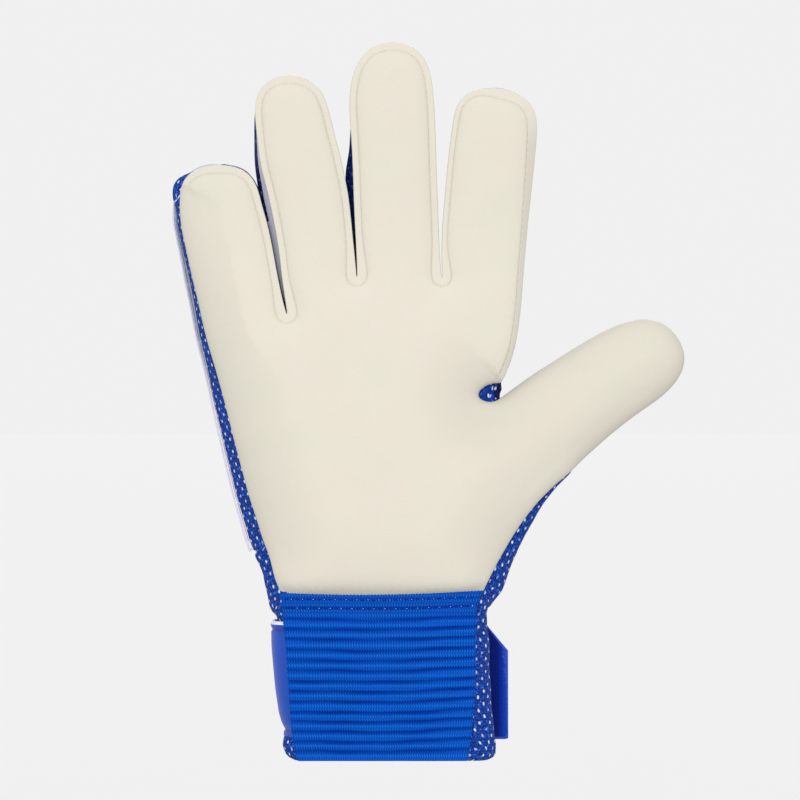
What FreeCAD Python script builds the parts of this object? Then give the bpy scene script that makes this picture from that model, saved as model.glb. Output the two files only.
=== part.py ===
"""A right-hand goalkeeper glove, modelled as the separate pieces that it is sewn from.

Frame: millimetres. +Z runs from the wrist opening to the fingertips, -Y faces out of the palm, +X is the thumb's side.
The origin is the centre of the wrist opening, at the bottom edge of the cuff.
Every crease of the glove is a hinge line that lies in the palm's outer face, so that the pieces beyond it fold towards the palm.
"""

import FreeCAD, Part
import Sketcher
import math
import os

V = FreeCAD.Vector
doc = FreeCAD.newDocument("goalkeeper_glove")

# ---------------------------------------------------------------- driving dimensions
SIZES = {
    # depths: how far each layer is in front of or behind the middle of the hand
    "palm_outer": -10.5,
    "palm_thick": 3.5,
    "back_inner": 6.0,
    "back_thick": 3.0,
    "gusset_thick": 1.0,
    "latex_wall": 2.6,
    "lining_thick": 0.5,
    "crease_gap": 0.15,
    "strap_gap": 0.3,
    # hand
    "wrist_line": 63.4,
    # cuff
    "cuff_height": 63.2,
    "elastic_thick": 2.0,
    "elastic_front": -11.5,
    "sleeve_thick": 1.2,
    "sleeve_left": -41.0,
    "sleeve_right": 38.5,
    "sleeve_front": -9.5,
    "sleeve_back": 12.0,
    "sleeve_corner": 9.0,
    # strap
    "strap_low": 8.3,
    "strap_height": 44.0,
    "strap_thick": 2.0,
    "strap_outer_back": 17.6,
    "strap_outer_left": -46.0,
    "strap_hinge": 2.0,
    "strap_split": -4.0,
    "strap_end": 45.0,
    "strap_corner": 9.0,
    "patch_thick": 1.2,
    "hook_thick": 1.2,
    # little finger
    "little_base": 28.9,
    "little_mid": 30.0,
    "little_tip": 29.6,
    "little_lower": 27.0,
    "little_upper": 27.4,
    "little_lean": 0.0875,
    "little_round": 11.5,
    # ring finger
    "ring_base": 27.4,
    "ring_mid": 28.4,
    "ring_tip": 27.4,
    "ring_lower": 36.0,
    "ring_upper": 37.6,
    "ring_lean": 0.077,
    "ring_round": 12.5,
    # middle finger
    "middle_base": 30.0,
    "middle_mid": 30.2,
    "middle_tip": 30.0,
    "middle_lower": 41.0,
    "middle_upper": 44.0,
    "middle_lean": 0.0175,
    "middle_round": 13.5,
    # index finger
    "index_base": 29.6,
    "index_mid": 30.8,
    "index_tip": 30.8,
    "index_lower": 33.0,
    "index_upper": 36.0,
    "index_lean": -0.0393,
    "index_round": 12.0,
    # thumb
    "thumb_base": 36.6,
    "thumb_mid": 34.4,
    "thumb_tip": 33.0,
    "thumb_lower": 30.8,
    "thumb_upper": 33.4,
    "thumb_lean": 0.0,
    "thumb_round": 14.5,
    # how far the side walls stand inside the edge of the palm's latex
    "seam_inset": 1.2,
    # how far the back of the little finger stands out past its palm
    "little_flare": 3.6,
}
sheet = doc.addObject("Spreadsheet::Sheet", "Sizes")
for row, (alias, number) in enumerate(SIZES.items(), start=1):
    sheet.set(f"A{row}", alias)
    sheet.set(f"B{row}", repr(number))
    sheet.setAlias(f"B{row}", alias)
doc.recompute()


def val(expression):
    """The number that an expression over the sheet's aliases has now."""
    return float(work_out(expression))


def work_out(text):
    """Sums, differences, products and quotients of numbers and aliases, worked out without running code."""
    tokens, word = [], ""
    for ch in str(text) + " ":
        if ch.isalnum() or ch in "_.":
            word += ch
            continue
        if word:
            tokens.append(word)
            word = ""
        if ch in "+-*/()":
            tokens.append(ch)

    def factor(i):
        t = tokens[i]
        if t == "-":
            v, i = factor(i + 1)
            return -v, i
        if t == "(":
            v, i = total(i + 1)
            return v, i + 1
        return (float(sheet.get(t)) if t in SIZES else float(t)), i + 1

    def product(i):
        v, i = factor(i)
        while i < len(tokens) and tokens[i] in "*/":
            w, j = factor(i + 1)
            v = v * w if tokens[i] == "*" else v / w
            i = j
        return v, i

    def total(i):
        v, i = product(i)
        while i < len(tokens) and tokens[i] in "+-":
            w, j = product(i + 1)
            v = v + w if tokens[i] == "+" else v - w
            i = j
        return v, i

    return total(0)[0]


def bound(text):
    """The same expression as FreeCAD reads it: every alias is looked up in the sheet."""
    out, word = "", ""
    for ch in str(text) + " ":
        if ch.isalnum() or ch in "_.":
            word += ch
            continue
        if word:
            out += "Sizes." + word if word in SIZES else word
            word = ""
        out += ch
    return out.strip()


def is_formula(x):
    return isinstance(x, str) and any(a in x for a in SIZES)


PARTS = []


def prism(label, outline, length, plane="XZ_Plane", place=(0, 0, 0), turn=0.0, y=None, z=None, rounds=(), bevels=(), pocket=None):
    """One Body: a closed outline in a plane, padded to a length. Corners that depend on the sheet are dimensioned from the
    sketch's origin with expressions. An XZ outline is padded towards -Y from the body's own y, and an XY one towards +Z."""
    body = doc.addObject("PartDesign::Body", label + "_body")
    body.Label = label
    sketch = body.newObject("Sketcher::SketchObject", label + "_outline")
    origin = [f for f in body.Origin.OriginFeatures if f.Role == plane][0]
    sketch.AttachmentSupport = [(origin, "")]
    sketch.MapMode = "FlatFace"
    draw(sketch, outline)
    doc.recompute()
    pad = body.newObject("PartDesign::Pad", label + "_pad")
    pad.Profile = sketch
    pad.Length = val(length)
    pad.setExpression("Length", bound(length))
    sketch.Visibility = False
    doc.recompute()
    last = pad
    if pocket:
        hollow, depth = pocket
        cut = body.newObject("Sketcher::SketchObject", label + "_hollow")
        cut.AttachmentSupport = [(origin, "")]
        cut.MapMode = "FlatFace"
        draw(cut, hollow)
        doc.recompute()
        last = body.newObject("PartDesign::Pocket", label + "_pocket")
        last.Profile = cut
        last.Length = val(depth)
        last.setExpression("Length", bound(depth))
        last.Reversed = True
        doc.recompute()
        if abs(last.Shape.Volume - pad.Shape.Volume) < 1.0:
            last.Reversed = False
            doc.recompute()
        assert last.Shape.Volume < pad.Shape.Volume - 1.0, label + ": the hollow cut nothing"
    for k, (where, radius) in enumerate(rounds):
        last = edge_feature(body, last, "PartDesign::Fillet", "Radius", where, radius, plane, f"{label}_round{k}")
    for k, (where, size) in enumerate(bevels):
        last = edge_feature(body, last, "PartDesign::Chamfer", "Size", where, size, plane, f"{label}_bevel{k}")
    px, py, pz = place
    body.Placement = FreeCAD.Placement(V(px, val(y) if y is not None else py, val(z) if z is not None else pz), FreeCAD.Rotation(V(0, 1, 0), turn))
    if is_formula(y):
        body.setExpression("Placement.Base.y", bound(y))
    if is_formula(z):
        body.setExpression("Placement.Base.z", bound(z))
    doc.recompute()
    PARTS.append(body)
    return body


def draw(sketch, outline):
    """A closed polygon whose corners that depend on the sheet get driving dimensions."""
    corners = [(val(u), val(v)) for u, v in outline]
    n = len(corners)
    for i in range(n):
        a, b = corners[i], corners[(i + 1) % n]
        sketch.addGeometry(Part.LineSegment(V(a[0], a[1], 0), V(b[0], b[1], 0)), False)
    for i in range(n):
        sketch.addConstraint(Sketcher.Constraint("Coincident", i, 2, (i + 1) % n, 1))
    for i, (u, v) in enumerate(outline):
        for kind, text, number in (("DistanceX", u, corners[i][0]), ("DistanceY", v, corners[i][1])):
            if abs(number) < 1e-7 and not is_formula(text):
                continue
            if number >= 0:
                k = sketch.addConstraint(Sketcher.Constraint(kind, -1, 1, i, 1, abs(number)))
                formula = bound(text)
            else:
                k = sketch.addConstraint(Sketcher.Constraint(kind, i, 1, -1, 1, abs(number)))
                formula = "-(" + bound(text) + ")"
            if is_formula(text):
                sketch.setExpression(f"Constraints[{k}]", formula)


def edge_feature(body, base, kind, size_name, where, size, plane, name):
    """A fillet or chamfer on the edge that stands on a corner of the outline. Where a third number is given, the edge is the one along the thickness whose corner is at that height."""
    shape = base.Shape
    u, v = val(where[0]), val(where[1])
    best = None
    for i, e in enumerate(shape.Edges, start=1):
        if len(e.Vertexes) != 2:
            continue
        p, q = e.Vertexes[0].Point, e.Vertexes[1].Point
        if plane == "XZ_Plane":
            pair = ((p.x, p.z), (q.x, q.z))
        elif len(where) == 3:
            pair = ((p.x, p.z), (q.x, q.z))
        else:
            pair = ((p.x, p.y), (q.x, q.y))
        d = max(math.hypot(a - u, b - v) for a, b in pair)
        if best is None or d < best[0]:
            best = (d, i)
    assert best[0] < 0.05, f"{name}: no edge at {u:.2f}, {v:.2f}"
    feature = body.newObject(kind, name)
    feature.Base = (base, [f"Edge{best[1]}"])
    setattr(feature, size_name, val(size))
    feature.setExpression(size_name, bound(size))
    doc.recompute()
    return feature


# ---------------------------------------------------------------- fingers
# Each finger has a crease at its root and one at its middle joint. Its own frame has x along the creases and z across them.
# name: (crease middle x, crease middle z, turn of the crease in degrees, positive leans the finger to the little side)
FINGERS = {
    "little": (-54.94, 169.88, 5.0),
    "ring": (-25.69, 184.5, 4.4),
    "middle": (4.24, 184.88, 1.0),
    "index": (35.44, 183.75, -2.25),
    "thumb": (55.42, 123.38, -54.5),
}
Y_BACK = "back_inner + back_thick"
Y_PALM_IN = "palm_outer + palm_thick"
HOLLOW = "back_inner - palm_outer - palm_thick"


def at(f, s, half, side, inset="0", flare="0"):
    """A corner of finger f, at s along it, half a width to one side of its middle line, moved inwards by inset."""
    mid = f"-({f}_lean*({s}))"
    if side < 0:
        return (f"{mid} - ({half}) + ({inset}) - ({flare})", s)
    return (f"{mid} + ({half}) - ({inset})", s)


def segment(f, part, inset="0", flare="0", shrink_top="0"):
    """The four corners of a finger's lower or upper piece: root left, root right, far right, far left."""
    if part == "lower":
        s0, s1 = "crease_gap", f"{f}_lower - crease_gap"
        h0, h1 = f"{f}_base/2", f"{f}_mid/2"
    else:
        s0, s1 = f"{f}_lower + crease_gap", f"{f}_lower + {f}_upper - ({shrink_top})"
        h0, h1 = f"{f}_mid/2", f"{f}_tip/2"
    return [at(f, s0, h0, -1, inset, flare), at(f, s0, h0, 1, inset), at(f, s1, h1, 1, inset), at(f, s1, h1, -1, inset, flare)]


def turn_of(f):
    return -FINGERS[f][2]


for f in ("little", "ring", "middle", "index"):
    bx, bz, _ = FINGERS[f]
    here = (bx, 0, bz)
    flare = "little_flare" if f == "little" else "0"
    for part in ("lower", "upper"):
        tip = part == "upper"
        palm = segment(f, part)
        back = segment(f, part, "0.6", flare)
        rounds = [(palm[2], f"{f}_round"), (palm[3], f"{f}_round")] if tip else []
        prism(f"{f}_{part}_palm", palm, "palm_thick", place=here, turn=turn_of(f), y=Y_PALM_IN, rounds=rounds)
        rounds = [(back[2], f"{f}_round"), (back[3], f"{f}_round")] if tip else []
        prism(f"{f}_{part}_back", back, "back_thick", place=here, turn=turn_of(f), y=Y_BACK, rounds=rounds)
        if not tip:
            outer = segment(f, part, "seam_inset")
            inner = segment(f, part, "seam_inset + gusset_thick")
            prism(f"{f}_lower_gusset_left", [outer[0], inner[0], inner[3], outer[3]], HOLLOW, place=here, turn=turn_of(f), y="back_inner")
            prism(f"{f}_lower_gusset_right", [inner[1], outer[1], outer[2], inner[2]], HOLLOW, place=here, turn=turn_of(f), y="back_inner")
        else:
            # one strip of mesh that goes up one side, round the tip and down the other
            outer = segment(f, part, "seam_inset", shrink_top="seam_inset")
            inner = segment(f, part, "seam_inset + gusset_thick", shrink_top="seam_inset + gusset_thick")
            strip = [outer[0], inner[0], inner[3], inner[2], inner[1], outer[1], outer[2], outer[3]]
            rounds = [
                (outer[2], f"{f}_round - seam_inset"),
                (outer[3], f"{f}_round - seam_inset"),
                (inner[2], f"{f}_round - seam_inset - gusset_thick"),
                (inner[3], f"{f}_round - seam_inset - gusset_thick"),
            ]
            prism(f"{f}_upper_gusset", strip, HOLLOW, place=here, turn=turn_of(f), y="back_inner", rounds=rounds)

# the thumb is wrapped: its latex goes round both sides and the tip, and meets the back
bx, bz, _ = FINGERS["thumb"]
here = (bx, 0, bz)
for part in ("lower", "upper"):
    tip = part == "upper"
    outer = segment("thumb", part)
    inner = segment("thumb", part, "latex_wall", shrink_top="latex_wall" if tip else "0 - 1.0")
    hollow = list(inner)
    # the hollow runs out through the open end or ends
    s_low = "crease_gap - 1.0" if not tip else "thumb_lower + crease_gap - 1.0"
    hollow[0] = (inner[0][0], s_low)
    hollow[1] = (inner[1][0], s_low)
    rounds = []
    if tip:
        rounds = [
            (outer[2], "thumb_round"),
            (outer[3], "thumb_round"),
            (inner[2], "thumb_round - latex_wall"),
            (inner[3], "thumb_round - latex_wall"),
        ]
    prism(f"thumb_{part}_latex", outer, f"{HOLLOW} + palm_thick", place=here, turn=turn_of("thumb"), y="back_inner", pocket=(hollow, HOLLOW), rounds=rounds)
    back = segment("thumb", part, "0.6")
    rounds = [(back[2], "thumb_round - 0.6"), (back[3], "thumb_round - 0.6")] if tip else []
    prism(f"thumb_{part}_back", back, "back_thick", place=here, turn=turn_of("thumb"), y=Y_BACK, rounds=rounds)


# ---------------------------------------------------------------- hand
def crease_end(f, u, gap=0.15):
    """A point on the hand's side of a finger's crease, u along the crease from its middle."""
    x, z, lean = FINGERS[f]
    a = math.radians(lean)
    return (x + u * math.cos(a) + gap * math.sin(a), z + u * math.sin(a) - gap * math.cos(a))


def crease(f, left=0.0, right=0.0):
    half = SIZES[f + "_base"] / 2
    return [crease_end(f, -half - left), crease_end(f, half + right)]


WRIST = SIZES["wrist_line"] + 0.15
lit, rin, mid, ind, thu = (crease(f) for f in ("little", "ring", "middle", "index", "thumb"))
PALM = (
    [(-39.56, WRIST), (-46.12, 83.25), (-52.88, 105.75), (-61.12, 135.75), (-65.62, 151.88)]
    + lit
    + [(-38.77, 166.0)]
    + rin
    + [(-11.4, 181.0)]
    + mid
    + [(20.05, 179.6)]
    + ind
    + [(49.12, 167.62), (47.44, 155.25), (44.62, 147.0), (42.0, 143.0), (34.6, 139.6), (39.0, 135.8)]
    + thu
    + [(58.88, 102.0), (52.12, 94.5), (46.88, 87.0), (41.62, 79.5), (37.88, 72.0), (34.4, WRIST)]
)
prism("palm_latex", PALM, "palm_thick", y=Y_PALM_IN)


def inward(points, amount):
    """The outline moved inwards along the mitre of each corner."""
    out, n = [], len(points)
    for i in range(n):
        (x0, z0), (x1, z1), (x2, z2) = points[i - 1], points[i], points[(i + 1) % n]
        d0 = math.hypot(x1 - x0, z1 - z0)
        d1 = math.hypot(x2 - x1, z2 - z1)
        n0 = ((z1 - z0) / d0, -(x1 - x0) / d0)
        n1 = ((z2 - z1) / d1, -(x2 - x1) / d1)
        mx, mz = n0[0] + n1[0], n0[1] + n1[1]
        m = math.hypot(mx, mz)
        scale = amount / max(0.5, (mx * n0[0] + mz * n0[1]) / m)
        out.append((x1 + mx / m * scale, z1 + mz / m * scale))
    return out


LINING = [
    (-36.8, WRIST), (-43.2, 83.5), (-50.0, 106.2), (-58.2, 136.3), (-65.3, 165.5), (-39.5, 166.8),
    (-37.8, 180.5), (-14.5, 182.5), (-8.0, 182.0), (17.0, 182.3), (23.2, 181.2), (47.0, 181.0),
    (46.0, 167.0), (44.3, 156.0), (39.0, 146.0), (32.0, 139.6), (37.5, 132.5), (45.5, 136.0),
    (62.0, 108.0), (56.2, 103.4), (49.6, 96.0), (44.4, 88.4), (39.2, 80.8), (35.4, 73.2), (31.9, WRIST),
]
prism("palm_lining", LINING, "lining_thick", y="palm_outer + palm_thick + lining_thick")
prism("back_lining", LINING, "lining_thick", y="back_inner")

lit_b = crease("little", left=2.9, right=-0.6)
BACK = (
    [(-52.88, 80.25), (-54.75, 87.0), (-59.25, 102.0), (-64.5, 124.5), (-69.38, 147.0)]
    + lit_b
    + [(-39.4, 166.0)]
    + crease("ring", -0.6, -0.6)
    + [(-11.4, 181.0)]
    + crease("middle", -0.6, -0.6)
    + [(20.05, 179.6)]
    + crease("index", -0.6, -0.6)
    + [(48.4, 167.62), (46.6, 155.25), (43.6, 147.0), (40.5, 142.0), (38.5, 136.8)]
    + crease("thumb", -0.6, -0.6)
    + [(60.2, 102.0), (53.6, 94.5), (48.3, 87.0), (44.4, 80.25)]
)
prism("backhand_panel", BACK, "back_thick", y=Y_BACK)

# the mesh below the padded backhand, down to the wrist crease
prism("backhand_wrist_mesh", [(-43.0, WRIST), (-51.5, 79.95), (43.6, 79.95), (38.9, WRIST)], "gusset_thick", y="back_inner + gusset_thick")

LEFT = [(-39.0, WRIST), (-45.0, 83.5), (-51.7, 106.1), (-59.9, 136.1), (-67.3, 167.2)]
LEFT_IN = [(-66.3, 167.35), (-58.9, 136.35), (-50.7, 106.4), (-44.0, 83.8), (-38.0, WRIST)]
prism("little_side_mesh", LEFT + LEFT_IN, HOLLOW, y="back_inner")
RIGHT = [(64.2, 107.9), (57.5, 102.5), (50.8, 95.0), (45.6, 87.4), (40.4, 79.8), (36.6, 72.3), (33.2, WRIST)]
RIGHT_OUT = [(34.2, WRIST), (37.5, 71.9), (41.3, 79.3), (46.5, 86.8), (51.6, 94.3), (58.2, 101.7), (65.0, 107.2)]
prism("thumb_side_mesh", RIGHT + RIGHT_OUT, HOLLOW, y="back_inner")
INDEX_SIDE = [(48.9, 182.7), (47.9, 167.7), (46.2, 155.5), (43.4, 147.6), (40.6, 144.2)]
INDEX_SIDE_IN = [(39.7, 144.9), (42.4, 148.2), (45.2, 155.8), (46.9, 167.8), (47.9, 182.7)]
prism("index_side_mesh", INDEX_SIDE + INDEX_SIDE_IN, HOLLOW, y="back_inner")
# the web of mesh between thumb and index finger, which shows through a slot in the latex
prism(
    "thumb_web_mesh",
    [(40.4, 144.0), (35.8, 142.4), (33.4, 139.6), (34.6, 136.4), (38.6, 134.6), (44.6, 136.9), (45.6, 136.2), (38.6, 133.3), (33.6, 135.7), (32.1, 139.9), (35.0, 143.4), (39.6, 144.8)],
    f"{HOLLOW} - 2*lining_thick",
    y="back_inner - lining_thick",
)

# small strips of mesh that close each fork between two fingers
FORKS = {
    "fork_mesh_little_ring": [(-41.8, 170.3), (-39.6, 164.6), (-38.1, 164.6), (-37.9, 182.7), (-38.8, 182.6), (-39.0, 166.4), (-41.0, 170.4)],
    "fork_mesh_ring_middle": [(-13.4, 184.9), (-12.3, 179.4), (-10.8, 179.4), (-9.6, 184.2), (-10.5, 184.2), (-11.4, 180.6), (-12.5, 184.9)],
    "fork_mesh_middle_index": [(17.7, 184.7), (19.3, 178.2), (20.8, 178.2), (22.5, 183.7), (21.6, 183.7), (20.1, 179.4), (18.7, 184.7)],
}
for name, outline in FORKS.items():
    prism(name, outline, f"{HOLLOW} - 2*lining_thick", y="back_inner - lining_thick")

# ---------------------------------------------------------------- cuff
# A sleeve of mesh goes round the wrist from one edge of the ribbed elastic to the other. Its outline is seen from above, open at the palm.
T = "sleeve_thick"
SLEEVE = [
    ("sleeve_left + 5", "sleeve_front"),
    ("sleeve_left", "sleeve_front"),
    ("sleeve_left", "sleeve_back"),
    ("sleeve_right", "sleeve_back"),
    ("sleeve_right", "sleeve_front"),
    ("sleeve_right - 5", "sleeve_front"),
    ("sleeve_right - 5", f"sleeve_front + {T}"),
    (f"sleeve_right - {T}", f"sleeve_front + {T}"),
    (f"sleeve_right - {T}", f"sleeve_back - {T}"),
    (f"sleeve_left + {T}", f"sleeve_back - {T}"),
    (f"sleeve_left + {T}", f"sleeve_front + {T}"),
    ("sleeve_left + 5", f"sleeve_front + {T}"),
]
prism(
    "cuff_sleeve",
    SLEEVE,
    "cuff_height",
    plane="XY_Plane",
    rounds=[
        (("sleeve_left", "sleeve_back"), "sleeve_corner"),
        (("sleeve_right", "sleeve_back"), "sleeve_corner"),
        ((f"sleeve_left + {T}", f"sleeve_back - {T}"), f"sleeve_corner - {T}"),
        ((f"sleeve_right - {T}", f"sleeve_back - {T}"), f"sleeve_corner - {T}"),
    ],
)
prism(
    "ribbed_elastic",
    [(-34.0, 0.0), (-40.2, "cuff_height"), (35.6, "cuff_height"), (32.0, 0.0)],
    "elastic_thick",
    y="elastic_front + elastic_thick",
)
# the inner turn of the hem, a flat band inside the bottom edge of the sleeve
prism(
    "cuff_hem_tape",
    [("sleeve_left + 11", f"sleeve_back - {T}"), ("sleeve_right - 11", f"sleeve_back - {T}"), ("sleeve_right - 11", f"sleeve_back - {T} - 0.8"), ("sleeve_left + 11", f"sleeve_back - {T} - 0.8")],
    "8",
    plane="XY_Plane",
)

# ---------------------------------------------------------------- closure strap
LOW, HIGH = "strap_low", "strap_height"
S = "strap_thick"
prism(
    "strap_anchor",
    [
        ("sleeve_left", "sleeve_front"),
        ("sleeve_left", "sleeve_front + 7"),
        (f"strap_outer_left + {S}", "strap_hinge - 3.5"),
        (f"strap_outer_left + {S}", "strap_hinge - strap_gap"),
        ("strap_outer_left", "strap_hinge - strap_gap"),
        ("strap_outer_left", "strap_hinge - 5.5"),
        ("strap_outer_left + 2.8", "sleeve_front"),
    ],
    HIGH,
    plane="XY_Plane",
    z=LOW,
)
prism(
    "strap_wrap",
    [
        ("strap_outer_left", "strap_hinge + strap_gap"),
        (f"strap_outer_left + {S}", "strap_hinge + strap_gap"),
        (f"strap_outer_left + {S}", f"strap_outer_back - {S}"),
        ("strap_split - strap_gap", f"strap_outer_back - {S}"),
        ("strap_split - strap_gap", "strap_outer_back"),
        ("strap_outer_left", "strap_outer_back"),
    ],
    HIGH,
    plane="XY_Plane",
    z=LOW,
    rounds=[
        (("strap_outer_left", "strap_outer_back"), "13"),
        ((f"strap_outer_left + {S}", f"strap_outer_back - {S}"), f"13 - {S}"),
    ],
)
prism(
    "strap_tail",
    [
        ("strap_split + strap_gap", 0.0),
        ("strap_end", 0.0),
        ("strap_end", f"{HIGH} - strap_corner"),
        ("strap_end - strap_corner", HIGH),
        ("strap_split + strap_gap", HIGH),
    ],
    S,
    y="strap_outer_back",
    z=LOW,
    rounds=[(("strap_end", 0.0), "2")],
)
prism(
    "strap_hook_tape",
    [
        ("strap_split + 12", 2.5),
        ("strap_end - 2.5", 2.5),
        ("strap_end - 2.5", f"{HIGH} - strap_corner - 1.5"),
        ("strap_end - strap_corner - 1.5", f"{HIGH} - 2.5"),
        ("strap_split + 12", f"{HIGH} - 2.5"),
    ],
    "hook_thick",
    y=f"strap_outer_back - {S}",
    z=LOW,
)
prism(
    "cuff_loop_patch",
    [(-2.0, 9.5), (29.0, 9.5), (29.0, 50.5), (-2.0, 50.5)],
    "patch_thick",
    y="sleeve_back + patch_thick",
    rounds=[((-2.0, 9.5), "3"), ((29.0, 9.5), "3"), ((29.0, 50.5), "3"), ((-2.0, 50.5), "3")],
)

# ---------------------------------------------------------------- check and write
doc.recompute()
bad = [o.Name for o in doc.Objects if "Invalid" in o.State or "Error" in o.State]
assert not bad, f"these objects failed: {bad}"
for body in PARTS:
    shape = body.Shape
    assert not shape.isNull() and shape.isValid() and shape.Volume > 1.0, body.Label + " has no valid shape"
    assert len(shape.Solids) == 1, body.Label + " isn't one solid"
os.makedirs("parts", exist_ok=True)
for body in PARTS:
    body.Shape.exportStep(f"parts/{body.Label}.step")
print(len(PARTS), "pieces written")
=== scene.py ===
"""Right-hand goalkeeper glove: latex palm, foam back, mesh side walls, ribbed elastic cuff and hook-and-loop strap.
Lengths below are in millimetres in the row frame (x right, z up, the palm faces -y) until a mesh is made, which is in metres."""
import math

import bpy
import numpy as np
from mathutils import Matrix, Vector
from mathutils.geometry import delaunay_2d_cdt
from mathutils.kdtree import KDTree

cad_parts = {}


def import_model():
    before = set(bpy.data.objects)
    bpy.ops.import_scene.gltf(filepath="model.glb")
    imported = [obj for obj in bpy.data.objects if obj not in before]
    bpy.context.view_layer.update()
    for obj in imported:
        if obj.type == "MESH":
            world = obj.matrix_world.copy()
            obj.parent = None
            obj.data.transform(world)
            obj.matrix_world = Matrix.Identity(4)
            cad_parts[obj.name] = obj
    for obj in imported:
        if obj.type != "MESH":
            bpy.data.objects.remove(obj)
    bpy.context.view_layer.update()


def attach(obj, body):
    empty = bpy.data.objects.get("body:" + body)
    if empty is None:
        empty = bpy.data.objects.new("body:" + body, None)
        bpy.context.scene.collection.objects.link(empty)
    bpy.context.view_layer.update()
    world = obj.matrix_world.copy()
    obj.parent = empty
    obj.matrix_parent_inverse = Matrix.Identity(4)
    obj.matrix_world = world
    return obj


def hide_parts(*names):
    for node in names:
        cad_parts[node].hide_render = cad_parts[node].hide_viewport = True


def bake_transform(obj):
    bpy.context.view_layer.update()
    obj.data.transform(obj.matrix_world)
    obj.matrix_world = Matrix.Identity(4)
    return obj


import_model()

rng = np.random.default_rng(7)

# ------------------------------------------------------------------ outlines, (x, z)
LEFT = [(-40.12, 63.0), (-42.3, 68.25), (-44.1, 75.75), (-46.88, 83.25), (-49.2, 90.75), (-51.68, 98.25), (-53.78, 105.75), (-55.8, 113.25), (-57.75, 120.75), (-59.85, 128.25), (-61.88, 135.75), (-63.9, 143.25), (-66.07, 150.75), (-68.29, 158.25), (-70.05, 165.49), (-71.74, 173.25), (-73.5, 180.75), (-75.0, 188.25), (-76.65, 195.75), (-77.93, 201.38), (-78.45, 206.25), (-78.56, 210.75), (-77.93, 214.5)]
LITTLE = [(-77.93, 214.5), (-76.72, 217.5), (-74.81, 220.12), (-72.38, 222.08), (-69.0, 223.35), (-64.88, 223.88), (-60.38, 223.65), (-56.62, 222.9), (-53.44, 221.4), (-51.15, 219.15), (-49.57, 216.38), (-48.45, 213.0), (-47.55, 209.25), (-46.57, 205.88), (-45.6, 202.5), (-44.7, 198.75), (-44.02, 195.38), (-43.35, 192.0), (-42.68, 188.25), (-42.0, 184.5), (-41.25, 180.75), (-40.5, 177.0), (-39.68, 173.25), (-38.89, 170.25), (-38.32, 168.38)]
RING = [(-37.69, 168.38), (-37.99, 170.62), (-38.51, 174.0), (-39.0, 177.38), (-39.52, 180.75), (-39.98, 184.5), (-40.39, 188.25), (-40.84, 192.0), (-41.4, 195.38), (-42.0, 199.12), (-42.75, 202.88), (-43.5, 206.62), (-44.29, 210.38), (-45.26, 214.5), (-46.2, 218.25), (-47.18, 222.0), (-47.93, 225.75), (-48.41, 229.5), (-48.82, 233.25), (-49.27, 237.0), (-49.65, 240.75), (-49.8, 244.5), (-49.54, 248.25), (-48.75, 250.65), (-47.32, 252.9), (-45.38, 254.85), (-42.98, 256.27), (-40.12, 257.25), (-36.94, 257.59), (-33.75, 257.25), (-30.75, 256.24), (-28.12, 254.62), (-25.95, 252.49), (-24.3, 249.98), (-23.18, 247.12), (-22.27, 243.9), (-21.38, 240.38), (-20.48, 236.62), (-19.57, 232.88), (-18.52, 229.12), (-17.62, 225.38), (-16.8, 221.62), (-16.05, 217.88), (-15.3, 214.12), (-14.74, 210.38), (-14.32, 206.62), (-13.95, 202.88), (-13.57, 199.12), (-13.2, 195.38), (-12.82, 191.62), (-12.45, 187.88), (-12.15, 184.5), (-11.93, 182.25)]
MIDDLE = [(-11.44, 182.25), (-11.48, 185.25), (-11.59, 188.62), (-11.74, 192.0), (-11.93, 195.75), (-12.15, 199.5), (-12.34, 203.25), (-12.52, 207.0), (-12.68, 210.75), (-12.79, 214.5), (-12.9, 218.25), (-13.05, 222.0), (-13.2, 225.75), (-13.39, 229.5), (-13.61, 233.25), (-13.84, 237.0), (-14.1, 240.75), (-14.32, 244.5), (-14.32, 248.25), (-14.06, 252.0), (-13.5, 255.75), (-12.6, 259.12), (-11.21, 262.31), (-9.23, 265.2), (-6.6, 267.52), (-3.52, 269.1), (0.0, 269.89), (3.56, 269.92), (6.98, 269.14), (9.98, 267.6), (12.45, 265.35), (14.25, 262.5), (15.52, 259.12), (16.24, 255.75), (16.69, 252.0), (17.02, 248.25), (17.29, 244.5), (17.48, 240.75), (17.62, 237.0), (17.74, 233.25), (17.85, 229.5), (17.96, 225.75), (18.07, 222.0), (18.19, 218.25), (18.34, 214.5), (18.49, 210.75), (18.64, 207.0), (18.75, 203.25), (18.9, 199.5), (19.05, 195.75), (19.2, 192.0), (19.43, 188.25), (19.69, 184.5), (19.95, 181.88)]
INDEX = [(20.48, 181.88), (20.44, 184.5), (20.32, 187.88), (20.21, 191.25), (20.25, 194.62), (20.4, 198.38), (20.62, 202.12), (20.89, 205.88), (21.23, 209.62), (21.56, 213.38), (21.9, 217.12), (22.24, 220.88), (22.61, 224.62), (22.99, 228.38), (23.44, 232.12), (23.96, 235.88), (24.49, 239.62), (25.09, 243.0), (25.88, 245.81), (27.23, 248.25), (29.25, 250.27), (31.88, 251.62), (34.88, 252.38), (38.25, 252.67), (41.81, 252.6), (45.19, 252.0), (48.23, 250.95), (50.85, 249.38), (53.02, 247.35), (54.6, 244.88), (55.58, 241.88), (55.88, 238.5), (55.76, 235.12), (55.46, 231.38), (55.12, 227.62), (54.75, 223.88), (54.38, 220.12), (53.96, 216.38), (53.55, 212.62), (53.17, 208.88), (52.73, 205.12), (52.35, 201.38), (52.01, 197.62), (51.67, 193.88), (51.38, 190.12), (51.04, 186.38), (50.7, 182.62), (50.44, 178.88), (50.17, 175.12), (49.88, 171.38), (49.42, 167.62), (48.98, 163.88), (48.38, 160.12), (47.7, 156.38), (46.73, 152.62), (45.45, 148.88), (43.99, 145.5), (42.45, 142.31)]
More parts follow.
